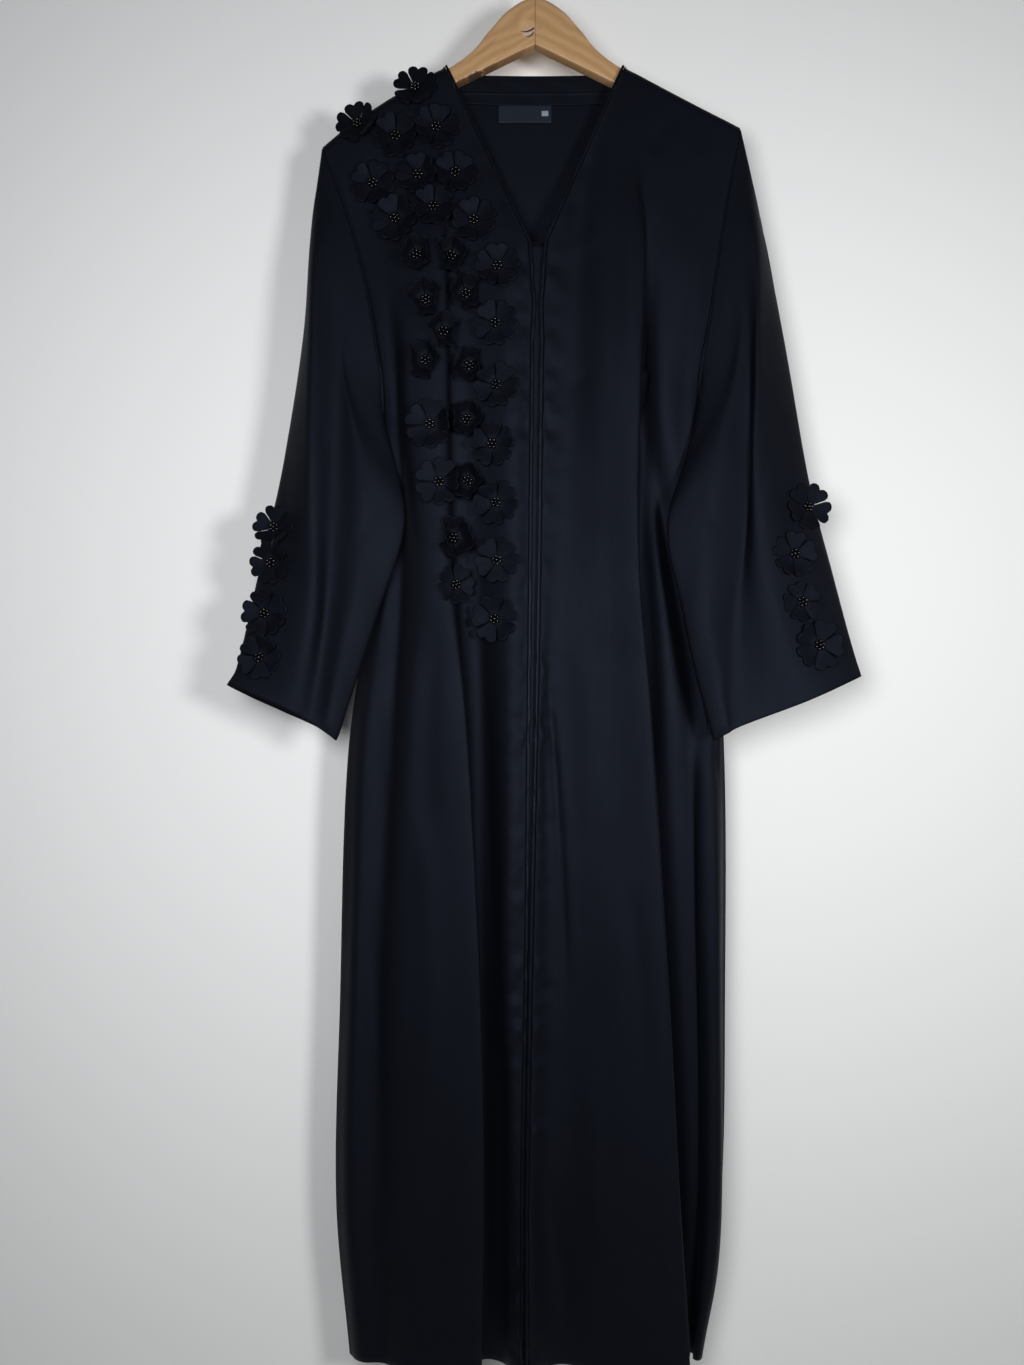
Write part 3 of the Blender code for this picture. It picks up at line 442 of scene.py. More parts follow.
CREASES_BACK = (
    dict(start=(-120, -190), end=(-86, -420), wide=14, deep=1.8, bow=8),
    dict(start=(-40, -210), end=(-50, -560), wide=11, deep=-1.4, bow=-6),
    dict(start=(24, -250), end=(14, -640), wide=12, deep=1.3, bow=5),
    dict(start=(96, -200), end=(112, -470), wide=12, deep=-1.8, bow=9),
    dict(start=(-104, -600), end=(-116, -1010), wide=12, deep=1.7, bow=-7),
    dict(start=(-12, -760), end=(2, -1230), wide=11, deep=-1.5, bow=6),
    dict(start=(62, -660), end=(74, -1120), wide=10, deep=1.6, bow=4),
    dict(start=(136, -700), end=(128, -1180), wide=11, deep=-1.6, bow=-5),
    dict(start=(-70, -1120), end=(-60, -1430), wide=9, deep=1.4, bow=4),
    dict(start=(30, -1180), end=(46, -1440), wide=10, deep=-1.6, bow=-6),
    dict(start=(-150, -250), end=(-60, -232), wide=9, deep=0.8, bow=5),
    dict(start=(60, -262), end=(140, -290), wide=9, deep=0.7, bow=-6),
)
SWELLS = (
    dict(across=.021, down=.0047, turn=.4, deep=.75),
    dict(across=-.034, down=.0083, turn=2.1, deep=.45),
    dict(across=.058, down=.0135, turn=4.4, deep=.25), dict(across=.012, down=-.019, turn=1.3, deep=.3))
PUCKER_DEEP, PUCKER_REACH = 2.3, 19.0
PUCKERS = (dict(long=33.0, turn=.3, share=.5, lean=.10), dict(long=21.0, turn=1.9, share=.35, lean=-.14),
           dict(long=57.0, turn=4.0, share=.45, lean=.05), dict(long=13.0, turn=2.2, share=.15, lean=.2))


FADE = 0.3              # share of a crease's length over which it fades in, and out again
LINE_FADE = 0.35        # how far inside its two fold lines a crease reaches its full depth


def creased(points, normal, table, toward=0, columns=None):
    """Press soft troughs and ridges into a sheet; toward keeps them on the front (-1) or back (1).
    A row with lines presses only the cloth between those two fold lines."""
    x, z = points[..., 0], points[..., 2]
    moved = np.zeros_like(x)
    for row in table:
        (x0, z0), (x1, z1) = row["start"], row["end"]
        ax, az = x1 - x0, z1 - z0
        long = math.hypot(ax, az)
        t = ((x - x0) * ax + (z - z0) * az) / long ** 2
        off = ((x - x0) * az - (z - z0) * ax) / long - row["bow"] * 4 * t * (1 - t)
        fade = ease(t / FADE) * ease((1 - t) / FADE)
        if "lines" in row:
            low, high = row["lines"]
            fade = fade * ease((columns - low) / LINE_FADE) * ease((high - columns) / LINE_FADE)
        moved += row["deep"] * fade * np.exp(-(off / row["wide"]) ** 2)
    for row in SWELLS:
        moved += row["deep"] * np.sin(x * row["across"] + z * row["down"] + row["turn"])
    if toward:
        moved *= ease(normal[..., 1] * toward / 0.35)
    return points + normal * moved[..., None]


def down_columns(points):
    """Distance of each point from the top of its column, measured on the cloth."""
    steps = np.linalg.norm(np.diff(points, axis=0), axis=2)
    return np.concatenate([np.zeros((1, points.shape[1])), np.cumsum(steps, axis=0)], axis=0)


def puckered(points, normal):
    """Ripples beside the bound front edge, from the upper neck down; they fade out across the cloth."""
    away, z = along_rows(points), points[..., 2]
    ripple = sum(row["share"] * np.sin(2 * math.pi * z / row["long"] + row["turn"] + away * row["lean"])
                 for row in PUCKERS)
    ripple *= .6 + .4 * np.sin(z * .0117 + points[..., 0].mean() * .2) * np.sin(z * .031 + 1.0)
    fade = ease(away / 4.0) * np.exp(-(away / PUCKER_REACH) ** 2) * ease((-200 - z) / 60)
    return points + normal * (PUCKER_DEEP * ripple * fade)[..., None]


# %% [markdown]
# ## From points to cloth
# bmesh makes a flat grid with the right number of squares, and each vertex is then moved to
# its place on the panel. The UV map is measured on the finished shape, in metres, so that the
# weave isn't stretched over folds. Solidify gives the cloth its 1.2 mm.


# %% Cloth from a grid
def new_piece(bm, name, materials, smooth=True):
    """A finished mesh as an object at the origin, riding on the one body."""
    mesh = bpy.data.meshes.new(name)
    for face in bm.faces:
        face.smooth = smooth
    bm.to_mesh(mesh)
    bm.free()
    for material in materials:
        mesh.materials.append(material)
    piece = bpy.data.objects.new(name, mesh)
    bpy.context.scene.collection.objects.link(piece)
    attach(piece, "root")
    return piece


def grid_mesh(points, normal=None, closed=False):
    """A bmesh grid laid on points (mm), its UVs in metres; closed welds its last column to its first."""
    rows, columns = points.shape[:2]
    bm = bmesh.new()
    bmesh.ops.create_grid(bm, x_segments=columns - 1, y_segments=rows - 1, size=1.0)
    u, v = along_rows(points), down_columns(points)
    uv = bm.loops.layers.uv.new("cloth")
    spot = {}
    for vertex in bm.verts:
        i = round((vertex.co.x + 1) / 2 * (columns - 1))
        j = round((vertex.co.y + 1) / 2 * (rows - 1))
        spot[vertex.index] = (j, i)
    bm.verts.ensure_lookup_table()
    for face in bm.faces:
        for loop in face.loops:
            j, i = spot[loop.vert.index]
            loop[uv].uv = (u[j, i] * MM, -v[j, i] * MM)
    for vertex in bm.verts:
        vertex.co = points[spot[vertex.index]] * MM
    if normal is not None:
        bm.normal_update()
        some = list(bm.verts)[::97]
        if sum(vertex.normal.dot(Vector(normal[spot[vertex.index]])) for vertex in some) < 0:
            bmesh.ops.reverse_faces(bm, faces=bm.faces)
    if closed:
        bmesh.ops.remove_doubles(bm, verts=bm.verts, dist=0.00001)
    return bm


def tube_mesh(points):
    """A closed tube laid on points, with its two ends filled and its faces outward."""
    bm = grid_mesh(points, closed=True)
    bmesh.ops.holes_fill(bm, edges=[e for e in bm.edges if e.is_boundary], sides=0)
    bmesh.ops.recalc_face_normals(bm, faces=bm.faces)
    return bm


def stands_for(piece, node, thickness=0.0):
    """The piece takes a node's place; where thickness is given, the sheet gets that wall."""
    if thickness:
        wall = piece.modifiers.new("wall", "SOLIDIFY")
        wall.thickness, wall.offset = thickness * MM, 0.0
    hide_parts(node)
    return piece


def cloth_piece(points, name, material, node, thickness=CLOTH, normal=None, closed=False):
    """A sheet laid on points, as thick as its cloth."""
    piece = new_piece(grid_mesh(points, normal, closed), name, [material])
    return stands_for(piece, node, thickness)


def size_of(points):
    """Area in square metres, widest row and longest column in metres."""
    a, b = points[:-1, 1:] - points[:-1, :-1], points[1:, :-1] - points[:-1, :-1]
    area = np.linalg.norm(np.cross(a, b), axis=2).sum() * MM ** 2
    wide, long = along_rows(points)[:, -1].max(), down_columns(points)[-1].max()
    return round(area, 3), round(wide * MM, 3), round(long * MM, 3)


OFF_BACK, SOFTLY = 5.0, 2.0     # a pressed front slows down here before the back; over this much


def behind(row, rear):
    """The back's depth behind each point of a front's row."""
    return np.interp(row[:, 0], rear[:, 0], rear[:, 1])


def kept_off(points, calm, rears):
    """A pressed front is held 4 to 5 mm off the back, unless its calm shape is nearer than that."""
    for row, still, rear in zip(points, calm, rears):
        over = np.maximum(row[:, 1] - np.maximum(still[:, 1], behind(row, rear) - OFF_BACK), 0)
        row[:, 1] -= np.where(over < SOFTLY, over ** 2 / (2 * SOFTLY), over - SOFTLY / 2)
    return points


def from_shoulder(reach):
    """0 at the shoulder seam and 1 further down, so that no crease moves the seam."""
    return ease((FRONT_ROWS - 0.004) / reach)[:, None, None]


def from_edge(away):
    """0 at a side seam and 1 half a fold line in, so that no crease moves the seam."""
    return ease(away / 0.5)[None, :, None]


# %% The two fronts and the back
inset = BINDING_WIDTH + SEAM
sheets = {}
back_points = panel_points(BACK, BACK_COLUMNS, FRONT_ROWS, 1.0)
calm = back_points.copy()
back_points = creased(back_points, facing_of(back_points, 1), CREASES_BACK)
hold = from_shoulder(0.05) * (from_edge(BACK_COLUMNS) * from_edge(BACK_COLUMNS[-1] - BACK_COLUMNS))
back_points = calm + (back_points - calm) * hold
for name, lines, creases in (("left", FRONT_LEFT, CREASES_LEFT), ("right", FRONT_RIGHT, CREASES_RIGHT)):
    points = settled(panel_points(lines, PANEL_COLUMNS, FRONT_ROWS, -1.0, inset), FRONT_ROWS)
    calm = points.copy()
    points = creased(points, facing_of(points, -1), creases, columns=PANEL_COLUMNS)
    hold = from_shoulder(0.04) * from_edge(PANEL_COLUMNS[-1] - PANEL_COLUMNS)
    points = kept_off(calm + (points - calm) * hold, calm, back_points)
    points = puckered(points, facing_of(points, -1))
    sheets[name] = points
    # measured below the shoulder and away from the side seam, because the panels meet there
    gaps = [(behind(row, rear) - row[:, 1])[:90].min() for row, rear in zip(points[30:], back_points[30:])]
    print(name, "front stays off the back by, mm:", round(min(gaps), 1))
sheets["back"] = back_points

front_left, front_right = (
    cloth_piece(sheets[name], "cloth_front_" + name, CREPE, "front_" + name,
                normal=facing_of(sheets[name], -1)) for name in ("left", "right"))
back = cloth_piece(sheets["back"], "cloth_back", CREPE, "back_panel",
                   normal=facing_of(sheets["back"], 1))
for name in sheets:
    print(name, "area, width, length:", size_of(sheets[name]))

# %% [markdown]
# ## Sleeves
# A sleeve is a tube drawn the same way: eight lines run from the armhole to the cuff, and a
# closed curve joins them at each height. The first ring follows the side edges of the two
# panels, so that the sleeve grows out of the armhole. It hangs flattened in front of the body.

# %% Sleeve tables
STATIONS = (0.15, 0.35, 0.60, 0.80, 0.96, 1.0)     # share of the way from armhole to cuff
SLEEVE_LEFT = (     # outer, ridge, valley, inner, under, back inner, back fold, back outer
    dict(x=(231, 253, 276, 302, 321, 327), y=(-3, -6, -12, -18, -24, -26),
         z=(-288, -407, -553, -663, -739, -760)),
    dict(x=(223, 224, 222, 238, 266, 274), y=(-20, -30, -36, -42, -44, -44),
         z=(-318, -432, -553, -683, -772, -782)),
    dict(x=(210, 213, 211, 202, 205, 206), y=(-19, -24, -26, -28, -34, -36),
         z=(-372, -480, -602, -704, -795, -809)),
    dict(x=(196, 178, 168, 175, 187, 190), y=(-19, -31, -37, -38, -38, -37),
         z=(-446, -546, -655, -734, -806, -817)),
    dict(x=(153, 133, 147, 161, 176, 179), y=(-13, -22, -26, -29, -31, -31),
         z=(-538, -608, -692, -759, -814, -824)),
    dict(x=(200, 182, 180, 190, 202, 205), y=(5, -10, -21, -24, -26, -26),
         z=(-440, -544, -652, -730, -797, -808)),
    dict(x=(212, 212, 220, 232, 246, 250), y=(5, -8, -13, -15, -17, -18),
         z=(-372, -480, -600, -700, -778, -790)),
    dict(x=(226, 240, 256, 278, 296, 300), y=(5, 0, -5, -10, -15, -17),
         z=(-312, -432, -565, -680, -757, -773)),
)
SLEEVE_RIGHT = (
    dict(x=(-229, -237, -257, -280, -300, -309), y=(-3, -6, -12, -18, -24, -26),
         z=(-300, -411, -548, -660, -752, -769)),
    dict(x=(-220, -224, -225, -226, -244, -250), y=(-18, -28, -38, -42, -42, -42),
         z=(-330, -431, -575, -685, -778, -792)),
    dict(x=(-198, -200, -202, -210, -222, -226), y=(-16, -22, -28, -30, -34, -36),
         z=(-392, -482, -604, -706, -792, -805)),
    dict(x=(-188, -172, -176, -192, -206, -209), y=(-17, -30, -36, -38, -38, -37),
         z=(-458, -549, -660, -738, -806, -816)),
    dict(x=(-145, -133, -157, -178, -196, -200), y=(-13, -22, -26, -29, -31, -31),
         z=(-538, -606, -690, -757, -814, -824)),
    dict(x=(-188, -176, -184, -202, -216, -219), y=(5, -10, -21, -24, -26, -26),
         z=(-452, -546, -652, -730, -800, -811)),
    dict(x=(-196, -202, -216, -232, -248, -252), y=(5, -8, -13, -15, -17, -18),
         z=(-386, -482, -600, -700, -783, -797)),
    dict(x=(-220, -226, -242, -262, -280, -286), y=(5, 0, -5, -10, -15, -17),
         z=(-318, -432, -560, -675, -765, -782)),
)
CREASES_SLEEVE_LEFT = (
    dict(start=(214, -260), end=(222, -520), wide=6, deep=1.3, bow=-3),
    dict(start=(196, -330), end=(206, -560), wide=10, deep=-1.4, bow=6),
    dict(start=(238, -470), end=(252, -640), wide=9, deep=-1.0, bow=-5),
    dict(start=(196, -640), end=(190, -790), wide=8, deep=1.0, bow=3),
    dict(start=(228, -650), end=(236, -770), wide=9, deep=1.0, bow=-4),
    dict(start=(160, -560), end=(186, -620), wide=7, deep=-1.2, bow=4),
)
CREASES_SLEEVE_RIGHT = (
    dict(start=(-222, -300), end=(-226, -620), wide=5, deep=1.3, bow=2),
    dict(start=(-202, -330), end=(-204, -600), wide=10, deep=-1.3, bow=-6),
    dict(start=(-244, -500), end=(-252, -660), wide=8, deep=-1.0, bow=4),
    dict(start=(-208, -640), end=(-214, -780), wide=8, deep=1.1, bow=-3),
    dict(start=(-258, -650), end=(-270, -770), wide=9, deep=0.9, bow=3),
    dict(start=(-150, -560), end=(-184, -640), wide=7, deep=-1.2, bow=-4),
)
SLEEVE_COLUMNS = np.linspace(0, 1, 113)
SLEEVE_ROWS = np.linspace(0, 1, 130)
CREASE_SHARES = dict(front=0.65, back=-0.5)     # a sleeve's creases, and fainter ones behind it


def sleeve_points(lines, side, columns, rows):
    """A closed tube of points; its first ring runs down the front's side edge and up the back's."""
    down = 1 - abs(2 * columns - 1)
    low, near = ease(down), ease((down - 0.85) / 0.15)
    panel, back_edge = (FRONT_LEFT, len(BACK) - 1.0) if side > 0 else (FRONT_RIGHT, 0.0)
    front = panel_points(panel, [len(panel) - 1.0], UNDERARM * down, -1.0, inset)[:, 0]
    rear = panel_points(BACK, [back_edge], UNDERARM * down, 1.0)[:, 0]
    in_front = columns <= 0.5
    ring = np.where(in_front[:, None], front, rear)
    ring[:, 0] += side * (0.7 + 1.1 * low + 1.4 * near)     # just outside the panels, more at the underarm
    ring[:, 1] += np.where(in_front, -2.6 * low, 1.5 * low - 6.1 * near)
    rings = [ring]
    for k in range(len(STATIONS)):
        corners = np.array([[(line["x"][k], line["y"][k], line["z"][k]) for line in lines]], float)
        rings.append(across_lines(corners, (columns % 1.0) * len(lines), closed=True)[0])
    return down_lines((0.0,) + STATIONS, np.stack(rings), rows)


for name, lines, side, creases in (("sleeve_left", SLEEVE_LEFT, 1, CREASES_SLEEVE_LEFT),
                                   ("sleeve_right", SLEEVE_RIGHT, -1, CREASES_SLEEVE_RIGHT)):
    points = sleeve_points(lines, side, SLEEVE_COLUMNS, SLEEVE_ROWS)
    normal = facing_of(points, 0, closed=True)
    middle = points[:, :-1].mean(axis=1, keepdims=True)
    if ((points - middle) * normal).sum() < 0:
        normal = -normal
    hold = ease((SLEEVE_ROWS - 0.03) / 0.12)[:, None, None]
    seen = [dict(row, deep=CREASE_SHARES["front"] * row["deep"]) for row in creases]
    unseen = [dict(row, deep=CREASE_SHARES["back"] * row["deep"], bow=-row["bow"]) for row in creases]
    pressed = creased(creased(points, normal, seen, toward=-1), normal, unseen, toward=1)
    sheets[name] = points + (pressed - points) * hold
    sheets[name][:, -1] = sheets[name][:, 0]
    sheets[name + "_facing"] = normal
    cloth_piece(sheets[name], "cloth_" + name, CREPE, name, normal=normal, closed=True)
    print(name, "area, girth, length:", size_of(sheets[name]))

# %% [markdown]
# ## Bindings
# A narrow satin strip is folded over each front's raw edge, from the shoulder down the V neck
# to the hem. Folded cloth has a rounded edge, so the section is a flat oval. It runs just off
# the edge of the panel as it hangs now, puckers and all.


# %% Bindings
def binding_points(panel):
    """An oval tube beside the panel's first column."""
    edge, inner = panel[3:, 0], panel[3:, 3]
    off = edge - inner
    off /= np.linalg.norm(off, axis=1, keepdims=True)
    tangent = np.gradient(edge, axis=0)
    tangent /= np.linalg.norm(tangent, axis=1, keepdims=True)
    rise = np.cross(off, tangent)
    rise *= np.sign(-rise[:, 1:2])
    off = np.cross(tangent, rise)
    off *= np.sign(((edge - inner) * off).sum(axis=1, keepdims=True))
    middle = edge + off * (SEAM + BINDING_WIDTH / 2)
    turn = np.linspace(0, 2 * math.pi, 15)
    return (middle[:, None] + off[:, None] * (np.cos(turn) * BINDING_WIDTH / 2)[None, :, None]
            + rise[:, None] * (np.sin(turn) * TRIM / 2)[None, :, None])


for side in ("left", "right"):
    tube = binding_points(sheets[side])
    strip = new_piece(tube_mesh(tube), "satin_binding_" + side, [SATIN])
    stands_for(strip, "binding_" + side)
    print("binding", side, "runs", round(down_columns(tube)[-1].max()), "mm")

# %% [markdown]
# ## Under-placket, neck facing, label
# The strip under the front opening shows through the gap between the two bindings. Inside the
# neck, a facing finishes the back's top edge, and a small woven label with a size tab is sewn
# to it. The label carries no words.


# %% Under-placket
def inside_edge(panel, reach):
    """Points on a panel, reach millimetres in from its bound edge, one for each row."""
    return np.array([[np.interp(reach, away, row[:, k]) for k in range(3)]
                     for away, row in zip(along_rows(panel), panel)])


PLACKET = dict(half=12.0, rib=5.4, set_back=3.4)
centre = (sheets["left"][:, 0] + sheets["right"][:, 0]) / 2
ribs = [inside_edge(sheets["right"], PLACKET["half"]), inside_edge(sheets["right"], PLACKET["rib"]), centre,
        inside_edge(sheets["left"], PLACKET["rib"]), inside_edge(sheets["left"], PLACKET["half"])]
below_the_v = FRONT_ROWS >= V_CORNER
ribs = np.stack(ribs, axis=1)[below_the_v] + np.array((0, PLACKET["set_back"], 0))
placket_points = across_lines(ribs, np.linspace(0, 4, 21))
placket = cloth_piece(placket_points, "cloth_under_placket", CREPE, "under_placket",
                      normal=facing_of(placket_points, -1))
print("under-placket area, width, length:", size_of(placket_points))


# %% Neck facing, label and size tab
def tree_of_points(points):
    """A search tree of a grid of points, in metres, for finding where cloth lies."""
    rows, columns = points.shape[:2]
    spots = [Vector(p) for p in (points * MM).reshape(-1, 3)]
    faces = [(j * columns + i, j * columns + i + 1, (j + 1) * columns + i + 1, (j + 1) * columns + i)
             for j in range(rows - 1) for i in range(columns - 1)]
    return BVHTree.FromPolygons(spots, faces)


BACK_TREE = tree_of_points(sheets["back"])


def lying(x, z, off):
    """A point off millimetres in front of the back panel's inside at x, z."""
    hit = BACK_TREE.ray_cast(Vector((x, -60, z)) * MM, Vector((0, 1, 0)))[0]
    return (x, hit.y / MM - off, z)


def patch(box, off, columns, rows, dip=lambda x: 0.0):
    """A small sheet lying off(x, z) inside the back, its lower edge let down by dip(x)."""
    x0, x1, z0, z1 = box
    return np.array([[lying(x, z - dip(x) * (z1 - z) / (z1 - z0), off(x, z))
                      for x in np.linspace(x0, x1, columns)] for z in np.linspace(z1, z0, rows)])


FACING_HALF, FACING_SEAM = 80.0, -154.0
FACING_BOX = (-FACING_HALF, FACING_HALF, -165.0, -141.0)     # left, right, bottom, top
LABEL_BOX = (-38.0, 17.5, -185.0, -166.8)
TAB_BOX = (7.0, 14.0, -178.5, -173.2)


def facing_off(x, z):
    """The facing lies 2 mm off the back, with a ridge along its seam and a slight wave."""
    return 2.0 + 0.35 * math.exp(-((z - FACING_SEAM) / 1.1) ** 2) + 0.2 * math.sin(x * .13 + z * .2)


def label_off(x, z):
    """The label bellies out a little between its ends."""
    return 2.0 + 0.5 * math.cos((x + 10) / 28 * 1.5)


facing_points = patch(FACING_BOX, facing_off, 81, 37,
                      dip=lambda x: 2.2 * math.cos(x / FACING_HALF * math.pi / 2))
facing = cloth_piece(facing_points, "cloth_neck_facing", CREPE, "back_neck_facing",
                     normal=facing_of(facing_points, -1))
label_points = patch(LABEL_BOX, label_off, 41, 15)
label = cloth_piece(label_points, "woven_label", LABEL, "label", thickness=0.8,
                    normal=facing_of(label_points, -1))
tab_points = patch(TAB_BOX, lambda x, z: 3.2, 13, 9)
tab = cloth_piece(tab_points, "size_tab_woven", TAB, "size_tab", thickness=0.7,
                  normal=facing_of(tab_points, -1))
print("neck facing area, width, length:", size_of(facing_points))

# %% [markdown]
# ## Flowers
# Each flower is cut from one piece of black cloth as five heart-shaped petals, then sewn at its
# heart so that the petals stand up unevenly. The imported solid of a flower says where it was
# sewn, which way it faces, how its petals are turned and how far each one stands up. A fine
# petal is a grid shaped into a heart, bent up from its root and curled at its tip.


# %% Reading a flower's solid
PETALS = 5
HEART_SHARE = 0.2       # the joined middle's radius as a share of the flower's
TIP_FROM, BEND_AT = 0.75, 0.22      # shares of the radius: where a petal's tip starts, and its bend


def read_flower(node):
    """Find a packed flower's middle, the way it faces, its size, its turn and its petals' lifts."""
    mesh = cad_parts[node].data
    spots = np.unique(np.round(np.array([v.co for v in mesh.vertices]) / MM, 3), axis=0)
    centre = spots.mean(axis=0)
    for _ in range(6):
        heart = spots[np.argsort(np.linalg.norm(spots - centre, axis=1))[:2 * PETALS]]
        centre = heart.mean(axis=0)
    normal = np.linalg.svd(heart - centre)[2][-1]
    normal *= -math.copysign(1, normal[1])
    right = np.cross((0, 0, 1), normal)
    right /= np.linalg.norm(right)
    up = np.cross(normal, right)
    rest = spots - centre
    flat = np.stack([rest @ right, rest @ up], axis=1)
    far, angle = np.linalg.norm(rest, axis=1), np.arctan2(flat[:, 1], flat[:, 0])
    heart_off = heart - centre
    radius = np.hypot(heart_off @ right, heart_off @ up).mean() / HEART_SHARE
    phase = (far ** 8 * np.exp(1j * PETALS * angle)).sum()
    turn = np.angle(phase) / PETALS
    lifts = []
    for k in range(PETALS):
        middle = turn + 2 * math.pi * k / PETALS
        near = np.abs((angle - middle + math.pi) % (2 * math.pi) - math.pi) < math.radians(24)
        tips = near & (far > TIP_FROM * radius)
        along = flat[tips] @ (math.cos(middle), math.sin(middle))
        rise = (rest[tips] @ normal).mean()
        lifts.append(math.atan2(rise, along.mean() - BEND_AT * radius))
    return dict(node=node, centre=centre, normal=normal, right=right, up=up, turn=turn,
                radius=radius, lifts=lifts)


FLOWER_NODES = sorted(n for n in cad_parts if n.startswith("flower_"))
flowers = [read_flower(node) for node in FLOWER_NODES]
lifts = [math.degrees(lift) for flower in flowers for lift in flower["lifts"]]
print("flowers:", len(flowers), "radii", sorted({round(f["radius"]) for f in flowers}),
      "petals stand up", round(min(lifts)), "to", round(max(lifts)), "degrees")

# %% Petals
PETAL_EDGE = dict(at=(0, .10, .26, .5, .72, .88, 1), reach=(.85, .90, .97, 1.0, .98, .92, .78))
PETAL_ACROSS = np.array((-1, -.88, -.72, -.5, -.26, -.10, 0, .10, .26, .5, .72, .88, 1))
PETAL_OUT = np.array((0, .1, .22, .36, .5, .64, .78, .9, 1))
PETAL_CLOTH = 0.7
FOLDED = (dict(x=(-93, -66), z=(-640, -320)),   # here the big fold presses the flowers' sides up
          dict(x=(-120, -93), z=(-460, -330)))
LOOSE = dict(curl=(-0.25, 0.45), cup=(-0.10, 0.28), twist=(-0.22, 0.22))    # no two petals are alike
BEND_STEPS = 12
CLEAR = 1.0             # the petals' middle stays this far off the cloth under them


def in_fold(spot):
    """Whether a flower sits where the big fold runs."""
    return any(row["x"][0] < spot[0] < row["x"][1] and row["z"][0] < spot[2] < row["z"][1] for row in FOLDED)


def petal_points(flower, k, rng):
    """One heart-shaped petal, bent up from the root and curled at the tip."""
    radius, root = flower["radius"], HEART_SHARE * flower["radius"]
    lift = min(1.05, flower["lifts"][k] * 0.85)
    curl, cup, twist = (rng.uniform(*LOOSE[way]) for way in ("curl", "cup", "twist"))
    middle = flower["turn"] + 2 * math.pi * k / PETALS
    if in_fold(flower["centre"]):
        lift = max(lift, rng.uniform(0.5, 0.8) + 0.7 * math.cos(middle) ** 2)
    along = flower["right"] * math.cos(middle) + flower["up"] * math.sin(middle)
    aside = flower["up"] * math.cos(middle) - flower["right"] * math.sin(middle)
    grid = []
    for t in PETAL_OUT:
        row = []
        for a in PETAL_ACROSS:
            reach = np.interp(abs(a), PETAL_EDGE["at"], PETAL_EDGE["reach"]) * radius
            out = root + (reach - root) * t
            half = math.radians(36.0 - 1.8 * min(1.0, t / 0.2))
            flat, wide = out * math.cos(a * half), out * math.sin(a * half)
            x, rise = root, 0.0
            for step in range(BEND_STEPS):
                far = root + (flat - root) * (step + 0.5) / BEND_STEPS
                bend = lift * ease((far - root) / (0.28 * radius))
                bend += curl * max(0.0, far / radius - 0.55) ** 1.3
                x += (flat - root) / BEND_STEPS * math.cos(bend)
                rise += (flat - root) / BEND_STEPS * math.sin(bend)
            share = out / radius
            rise += radius * (cup * (wide / radius) ** 2 + twist * wide / radius * share * 0.5)
            wide *= 1 - 0.10 * share * math.sin(lift)
            row.append(flower["centre"] + along * x + aside * wide + flower["normal"] * rise)
        grid.append(row)
    return np.array(grid)


SEWN_ON = {"flower_bodice": "right", "flower_cuff_left": "sleeve_left", "flower_cuff_right": "sleeve_right"}
CLOTH_TREES = {area: tree_of_points(sheets[sheet]) for area, sheet in SEWN_ON.items()}


def laid_on(grid, flower, tree):
    """Lift any point that the finished cloth would cover."""
    normal = Vector(flower["normal"])
    for row in grid:
        for point in row:
            start = Vector(point) * MM + normal * 0.006
            hit = tree.ray_cast(start, -normal, 0.006 + CLEAR * MM)[0]
            if hit is not None:
                point[:] = hit / MM + normal * CLEAR
    return grid


def flower_mesh(flower, rng, tree):
    """Five petals welded at their roots, with the heart between them filled."""
    bm = bmesh.new()
    uv = bm.loops.layers.uv.new("cloth")
    outward = np.broadcast_to(flower["normal"], (len(PETAL_OUT), len(PETAL_ACROSS), 3))
    for k in range(PETALS):
        part = grid_mesh(laid_on(petal_points(flower, k, rng), flower, tree), normal=outward)
        mesh = bpy.data.meshes.new("petal")
        part.to_mesh(mesh)
        part.free()
        bm.from_mesh(mesh)
        bpy.data.meshes.remove(mesh)
    bmesh.ops.remove_doubles(bm, verts=bm.verts, dist=0.0002)
    heart, near = Vector(flower["centre"]) * MM, flower["radius"] * HEART_SHARE * 1.35 * MM
    hole = [e for e in bm.edges if e.is_boundary and all((heart - v.co).length < near for v in e.verts)]
    made = bmesh.ops.holes_fill(bm, edges=hole, sides=0)
    fan = bmesh.ops.poke(bm, faces=made["faces"])
    for face in fan["faces"]:
        for loop in face.loops:
            loop[uv].uv = (loop.vert.co.x, loop.vert.co.z)
    bmesh.ops.recalc_face_normals(bm, faces=bm.faces)
    return bm


rng = random.Random(11)
petals = []
for flower in flowers:
    tree = CLOTH_TREES[flower["node"][:-3]]
    piece = new_piece(flower_mesh(flower, rng, tree), flower["node"].replace("flower", "petals"), [PETAL])
    petals.append(stands_for(piece, flower["node"], PETAL_CLOTH))
print("flowers cut:", len(petals), "each of", len(petals[0].data.polygons), "faces")

# %% [markdown]
# ## Beads
# A cluster of seven polished black beads holds each flower's heart: one in the middle and a
# ring of six. A bead is a small smooth icosphere, so each one catches the lamp as a bright
# dot. All the beads of one part of the garment are one mesh.

# %% Bead finish and beads
CRYSTAL, tree, shader = finish_named("black_crystal", Base_Color=(.0015, .0015, .002, 1), IOR=1.45)
tree.links.new(spread(tree, speckle(tree, 900.0), .05, .11), shader.inputs["Roughness"])

